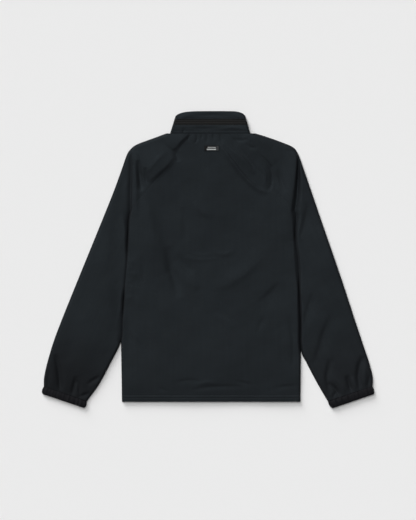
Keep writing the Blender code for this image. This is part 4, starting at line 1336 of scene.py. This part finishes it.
# %% [markdown]
# ## Tubes
# The loops of a zip and the stitches of a seam are both short threads. A curve with a round bevel could
# make each one, but hundreds of objects are slow, so rings of points are joined into one mesh.

# %% Many tubes in one mesh
SMALLEST_LENGTH = 1e-9


def tube_points(line, radius, sides):
    """Rings of points round a line that stays in a plane of constant height or turns slowly."""
    run = np.gradient(line, axis=0)
    run = run / np.linalg.norm(run, axis=1)[:, None]
    side = np.cross(run, (0.0, 0.0, 1.0))
    side = side / np.maximum(np.linalg.norm(side, axis=1), SMALLEST_LENGTH)[:, None]
    up = np.cross(side, run)
    angles = np.arange(sides) * 2 * math.pi / sides
    radius = np.broadcast_to(radius, len(line))
    ring = np.cos(angles)[None, :, None] * side[:, None, :] + np.sin(angles)[None, :, None] * up[:, None, :]
    return line[:, None, :] + radius[:, None, None] * ring


def joined_tubes(name, tubes):
    """One mesh from many closed tubes, each given as rings of points in millimetres."""
    points, faces, start = [], [], 0
    for rings in tubes:
        count, sides = rings.shape[:2]
        index = start + np.arange(count * sides).reshape(count, sides)
        turned = np.roll(index, -1, axis=1)
        sidewalls = np.stack((index[:-1], turned[:-1], turned[1:], index[1:]), axis=-1).reshape(-1, 4)
        faces.extend(sidewalls.tolist())
        faces.append(index[0, ::-1].tolist())
        faces.append(index[-1].tolist())
        points.append(rings.reshape(-1, 3))
        start += count * sides
    mesh = bpy.data.meshes.new(name)
    mesh.from_pydata((np.vstack(points) * MM).tolist(), [], faces)
    mesh.shade_smooth()
    return mesh


print("helpers made:", tube_points.__name__, joined_tubes.__name__)

# %% [markdown]
# ## Coil
# A coil is one nylon wire wound into loops and pressed flat. Moulded nylon is smooth, so each loop has
# a small glint. Loops from both sides lean and pass each other a little, which is what locks them.

# %% Coil of the front zip
COIL_PITCH = 1.5
COIL_HALF = 2.6
COIL_WIRE = 0.32
COIL_SIDES = 6
COIL_STEPS = 8
COIL_END = 4.0
COIL_OVERLAP = 0.5
COIL_STAGGER = 0.2
COIL_SLANT = 0.5
COIL_CLEARANCE = 0.05
COIL_RIB = 0.8
COIL_BLACK = ("#0B0B0C", "#141415")
COIL_ROUGHNESS = (0.3, 0.4)
loops = []
for y in np.arange(HEM_Y + COIL_END, FRONT_ZIP_TOP - COIL_END, COIL_PITCH):
    for hand in (-1.0, 1.0):
        t = np.linspace(0, 1, COIL_STEPS + 1)
        x = CENTRE_X + hand * (COIL_HALF - (COIL_HALF + COIL_OVERLAP) * np.sin(math.pi * t))
        lean = y + hand * COIL_STAGGER + (t - 0.5) * COIL_PITCH * COIL_SLANT
        line = np.column_stack((x, lean, np.full(len(t), COIL_WIRE + COIL_CLEARANCE)))
        loops.append(tube_points(line, COIL_WIRE, COIL_SIDES))
coil_nylon = ribbed_weave("moulded_nylon_zip_coil", *COIL_BLACK, COIL_RIB, "Y", COIL_ROUGHNESS)
add_piece("front_zip_coil", joined_tubes("front_zip_coil", loops), coil_nylon)
print("coil loops:", len(loops))

# %% [markdown]
# ## Slider
# The slider is at the top of its run. Two shields joined by a bridge make it, and a bevel rounds their
# edges as casting does. Scaled cubes are enough for so small a piece.

# %% Shields and bridge of the slider
SLIDER_SIZE = (8.6, 14.0, 3.4)
SLIDER_SHIELD = 1.0
SLIDER_WAIST = 0.78
SLIDER_RISE = 0.2
BRIDGE_SHARES = (0.3, 0.36, 0.5)
BRIDGE_FORWARD = 0.24


def slider_mesh(name):
    """Two shields, wide at the top and narrow at the tail, with a bridge between them."""
    shape = bmesh.new()
    middle_y = FRONT_ZIP_TOP + SEAM_GAP + SLIDER_SIZE[1] / 2
    half_height = SLIDER_SIZE[2] / 2
    parts = (
        ((1.0, 1.0, SLIDER_SHIELD / SLIDER_SIZE[2]), (0, 0, half_height - SLIDER_SHIELD / 2), True),
        ((1.0, 1.0, SLIDER_SHIELD / SLIDER_SIZE[2]), (0, 0, SLIDER_SHIELD / 2 - half_height), True),
        (BRIDGE_SHARES, (0, BRIDGE_FORWARD * SLIDER_SIZE[1], 0), False),
    )
    for share, offset, tapered in parts:
        made = bmesh.ops.create_cube(shape, size=1)["verts"]
        for vertex in made:
            narrow = SLIDER_WAIST if tapered and vertex.co.y < 0 else 1.0
            x, y, z = (co * size * part for co, size, part in zip(vertex.co, SLIDER_SIZE, share))
            place = (CENTRE_X + x * narrow, middle_y + y, SLIDER_RISE + half_height + z)
            vertex.co = [(p + o) * MM for p, o in zip(place, offset)]
    mesh = bpy.data.meshes.new(name)
    shape.to_mesh(mesh)
    shape.free()
    return mesh


print("slider in mm:", SLIDER_SIZE)

# %% [markdown]
# ## Lacquered zinc
# The slider is cast in zinc and dipped in black lacquer. That gives the eye a smooth, dark gloss, with
# paler patches where use has rubbed the lacquer thin. Real rub marks are about a millimetre wide.

# %% Finish of the slider
RUB_MARK = 1.2
RUB_DETAIL = 5.0
RUB_RAMP = (0.45, 0.8)
LACQUER_BLACK = "#151516"
RUBBED_GREY = "#3A3A3B"
LACQUER_ROUGHNESS = (0.28, 0.42)
LACQUER_METALLIC = 0.6
SLIDER_ROUNDING = 0.35
ROUNDING_STEPS = 3


def lacquered_zinc(name):
    """Cast zinc under black lacquer, rubbed a little paler by use."""
    material, tree, shader = new_material(name)
    places = add_node(tree, "TexCoord").outputs["Object"]
    rub = add_node(tree, "TexNoise", {"Scale": 1 / (RUB_MARK * MM), "Detail": RUB_DETAIL}, {0: places})
    tone = add_node(tree, "ValToRGB", links={0: rub.outputs[0]})
    for element, code, place in zip(tone.color_ramp.elements, (LACQUER_BLACK, RUBBED_GREY), RUB_RAMP):
        element.color = linear(code)
        element.position = place
    gloss = add_node(tree, "MapRange", {"To Min": LACQUER_ROUGHNESS[0], "To Max": LACQUER_ROUGHNESS[1]},
                     {0: rub.outputs[0]})
    set_inputs(tree, shader, {"Metallic": LACQUER_METALLIC},
               {"Base Color": tone.outputs[0], "Roughness": gloss.outputs[0]})
    return material


slider = add_piece("zip_slider_lacquered", slider_mesh("zip_slider_lacquered"),
                   lacquered_zinc("lacquered_zinc_slider"), "zip_slider")
rounding = slider.modifiers.new("rounded edges", "BEVEL")
rounding.width = SLIDER_ROUNDING * MM
rounding.segments = ROUNDING_STEPS
print("slider faces before rounding:", len(slider.data.polygons))

# %% [markdown]
# ## Sewing
# Lockstitch rows hold the hem, the collar zip and the label. Each stitch is a short thread that dips
# into the cloth at both ends. The thread is twisted polyester, so it has a dull gloss in fine dashes,
# and its twist is drawn at 0.5 mm, coarser than real. All stitches of a seam are one joined mesh, laid
# on the same height functions as the cloth, so they follow every fold.

# %% Thread and stitches
STITCH_LENGTH = 3.2
STITCH_SHARE = 0.8
THREAD_RADIUS = 0.24
STITCH_RISE = 0.14
STITCH_POINTS = 5
THREAD_SIDES = 6
THREAD_ENDS = 0.55
THREAD_TWIST = 0.5
THREAD_BLACK = ("#101314", "#1A1D1F")
THREAD_ROUGHNESS = (0.45, 0.6)
thread = ribbed_weave("twisted_polyester_thread", *THREAD_BLACK, THREAD_TWIST, "X", THREAD_ROUGHNESS)


def stitch_tubes(line, facing=1.0):
    """Short bowed tubes along a line of points on a cloth's outer face."""
    steps = np.concatenate(((0.0,), np.cumsum(np.linalg.norm(np.diff(line, axis=0), axis=1))))
    count = int(steps[-1] // STITCH_LENGTH)
    tubes = []
    for number in range(count):
        start = (number + (1 - STITCH_SHARE) / 2) * STITCH_LENGTH
        t = np.linspace(0, 1, STITCH_POINTS)
        at = start + t * STITCH_LENGTH * STITCH_SHARE
        points = np.column_stack([np.interp(at, steps, line[:, axis]) for axis in range(3)])
        points[:, 2] += facing * STITCH_RISE * (2 * np.sin(math.pi * t) - 1)
        radius = THREAD_RADIUS * (THREAD_ENDS + (1 - THREAD_ENDS) * np.sin(math.pi * t))
        tubes.append(tube_points(points, radius, THREAD_SIDES))
    return tubes


def level_line(x_from, x_to, y, spacing=1.0):
    x = np.arange(x_from, x_to, spacing)
    return np.column_stack((x, np.full(len(x), y)))


print("stitches to 10 cm:", round(100 / STITCH_LENGTH))

# %% [markdown]
# ## Hem sewing
# Two rows run along the hem, on the back and on both fronts. On the fronts the stitches face down.

# %% Rows along the hem
HEM_SIDE_INSET = 2.0
HEM_ZIP_INSET = 1.0
hem_left = LEFT_SIDE_END[-1][0] + HEM_SIDE_INSET
hem_right = RIGHT_SIDE_END[-1][0] - HEM_SIDE_INSET
zip_half = front_edge + HEM_ZIP_INSET
hem_tubes = []
for y in HEM_STITCHES:
    for x_from, x_to, height, facing in (
            (hem_left, hem_right, back_height, 1.0),
            (hem_left, CENTRE_X - zip_half, front_height, -1.0),
            (CENTRE_X + zip_half, hem_right, front_height, -1.0)):
        points = level_line(x_from, x_to, y)
        hem_tubes += stitch_tubes(with_height(points, height(points)), facing)
add_piece("hem_stitches", joined_tubes("hem_stitches", hem_tubes), thread)
print("hem stitches:", len(hem_tubes))

# %% [markdown]
# ## Collar and label sewing
# The collar's rows run along its zip and above the neck seam. The label is held down at both ends.
# Both are laid on the heights that made the cloth, so they follow it.

# %% Rows on the collar and the label
STITCHED_TURN = 0.95
collar_tubes = []
on_back = [station for station in stations if station.turn > STITCHED_TURN]
for y, relief in (
        (NECK_STITCH_Y, lower_relief),
        (HOOD_ZIP_LOW_Y - COLLAR_STITCH_GAP, lower_relief),
        (HOOD_ZIP_HIGH_Y + COLLAR_STITCH_GAP, upper_relief)):
    line = []
    for station in on_back:
        share = (y - station.base_y) / (station.top_y - station.base_y)
        line.append(collar_points(station, np.array((share,)), relief)[0])
    collar_tubes += stitch_tubes(np.array(line))
add_piece("collar_stitches", joined_tubes("collar_stitches", collar_tubes), thread)
LABEL_STITCH_INSET = 1.2
LABEL_STITCH_END = 0.8
LABEL_STITCH_STEP = 0.5
label_tubes = []
row_half = LABEL_SIZE[1] / 2 - LABEL_STITCH_END
for hand in (-1.0, 1.0):
    y = np.arange(-row_half, row_half, LABEL_STITCH_STEP) + LABEL_CENTRE[1]
    x = np.full(len(y), LABEL_CENTRE[0] + hand * (LABEL_SIZE[0] / 2 - LABEL_STITCH_INSET))
    points = np.column_stack((x, y))
    label_tubes += stitch_tubes(with_height(points, back_height(points) + LABEL_GAP + LABEL_WALL))
add_piece("label_stitches", joined_tubes("label_stitches", label_tubes), thread)
print("collar stitches:", len(collar_tubes), "label stitches:", len(label_tubes))

# %% [markdown]
# ## What was cut
# Every cloth piece is listed with the size it was cut to: the widest and longest the flat pattern
# measures, and its area where it isn't a rectangle. Tubes are given all the way round.

def half_area(piece):
    """Half the area of a closed shell in square metres, which is the area of its cloth."""
    mesh = piece.evaluated_get(bpy.context.evaluated_depsgraph_get()).to_mesh()
    return sum(face.area for face in mesh.polygons) / 2


Sheet = namedtuple("Sheet", "piece flat held area rests_on")
FRONTS = ("front_left", "front_right")
SHEETS = (
    Sheet(back, (0.456, 0.684), "laid", 0.268, FRONTS),
    Sheet(front_left, (0.222, 0.651), "laid", 0.124, ()),
    Sheet(front_right, (0.222, 0.651), "laid", 0.124, ()),
    Sheet(sleeve_left, (0.345, 0.735), "laid", 0.178, ()),
    Sheet(sleeve_right, (0.345, 0.735), "laid", 0.178, ()),
    Sheet(cuff_left, (0.250, 0.021), "gathered", None, ()),
    Sheet(cuff_right, (0.250, 0.021), "gathered", None, ()),
    Sheet(collar_lower, (0.420, 0.030), "laid", None, FRONTS),
    Sheet(collar_upper, (0.390, 0.030), "laid", None, FRONTS),
    Sheet(hood_zip, (0.215, 0.014), "laid", None, ()),
    Sheet(label, (0.038, 0.0134), "laid", None, ("back_panel",)),
    Sheet(front_zip, (0.011, 0.665), "laid", None, ()),
)
for sheet in SHEETS:
    print(sheet.piece.name, "cut", sheet.flat, "cloth area", round(half_area(sheet.piece), 4))
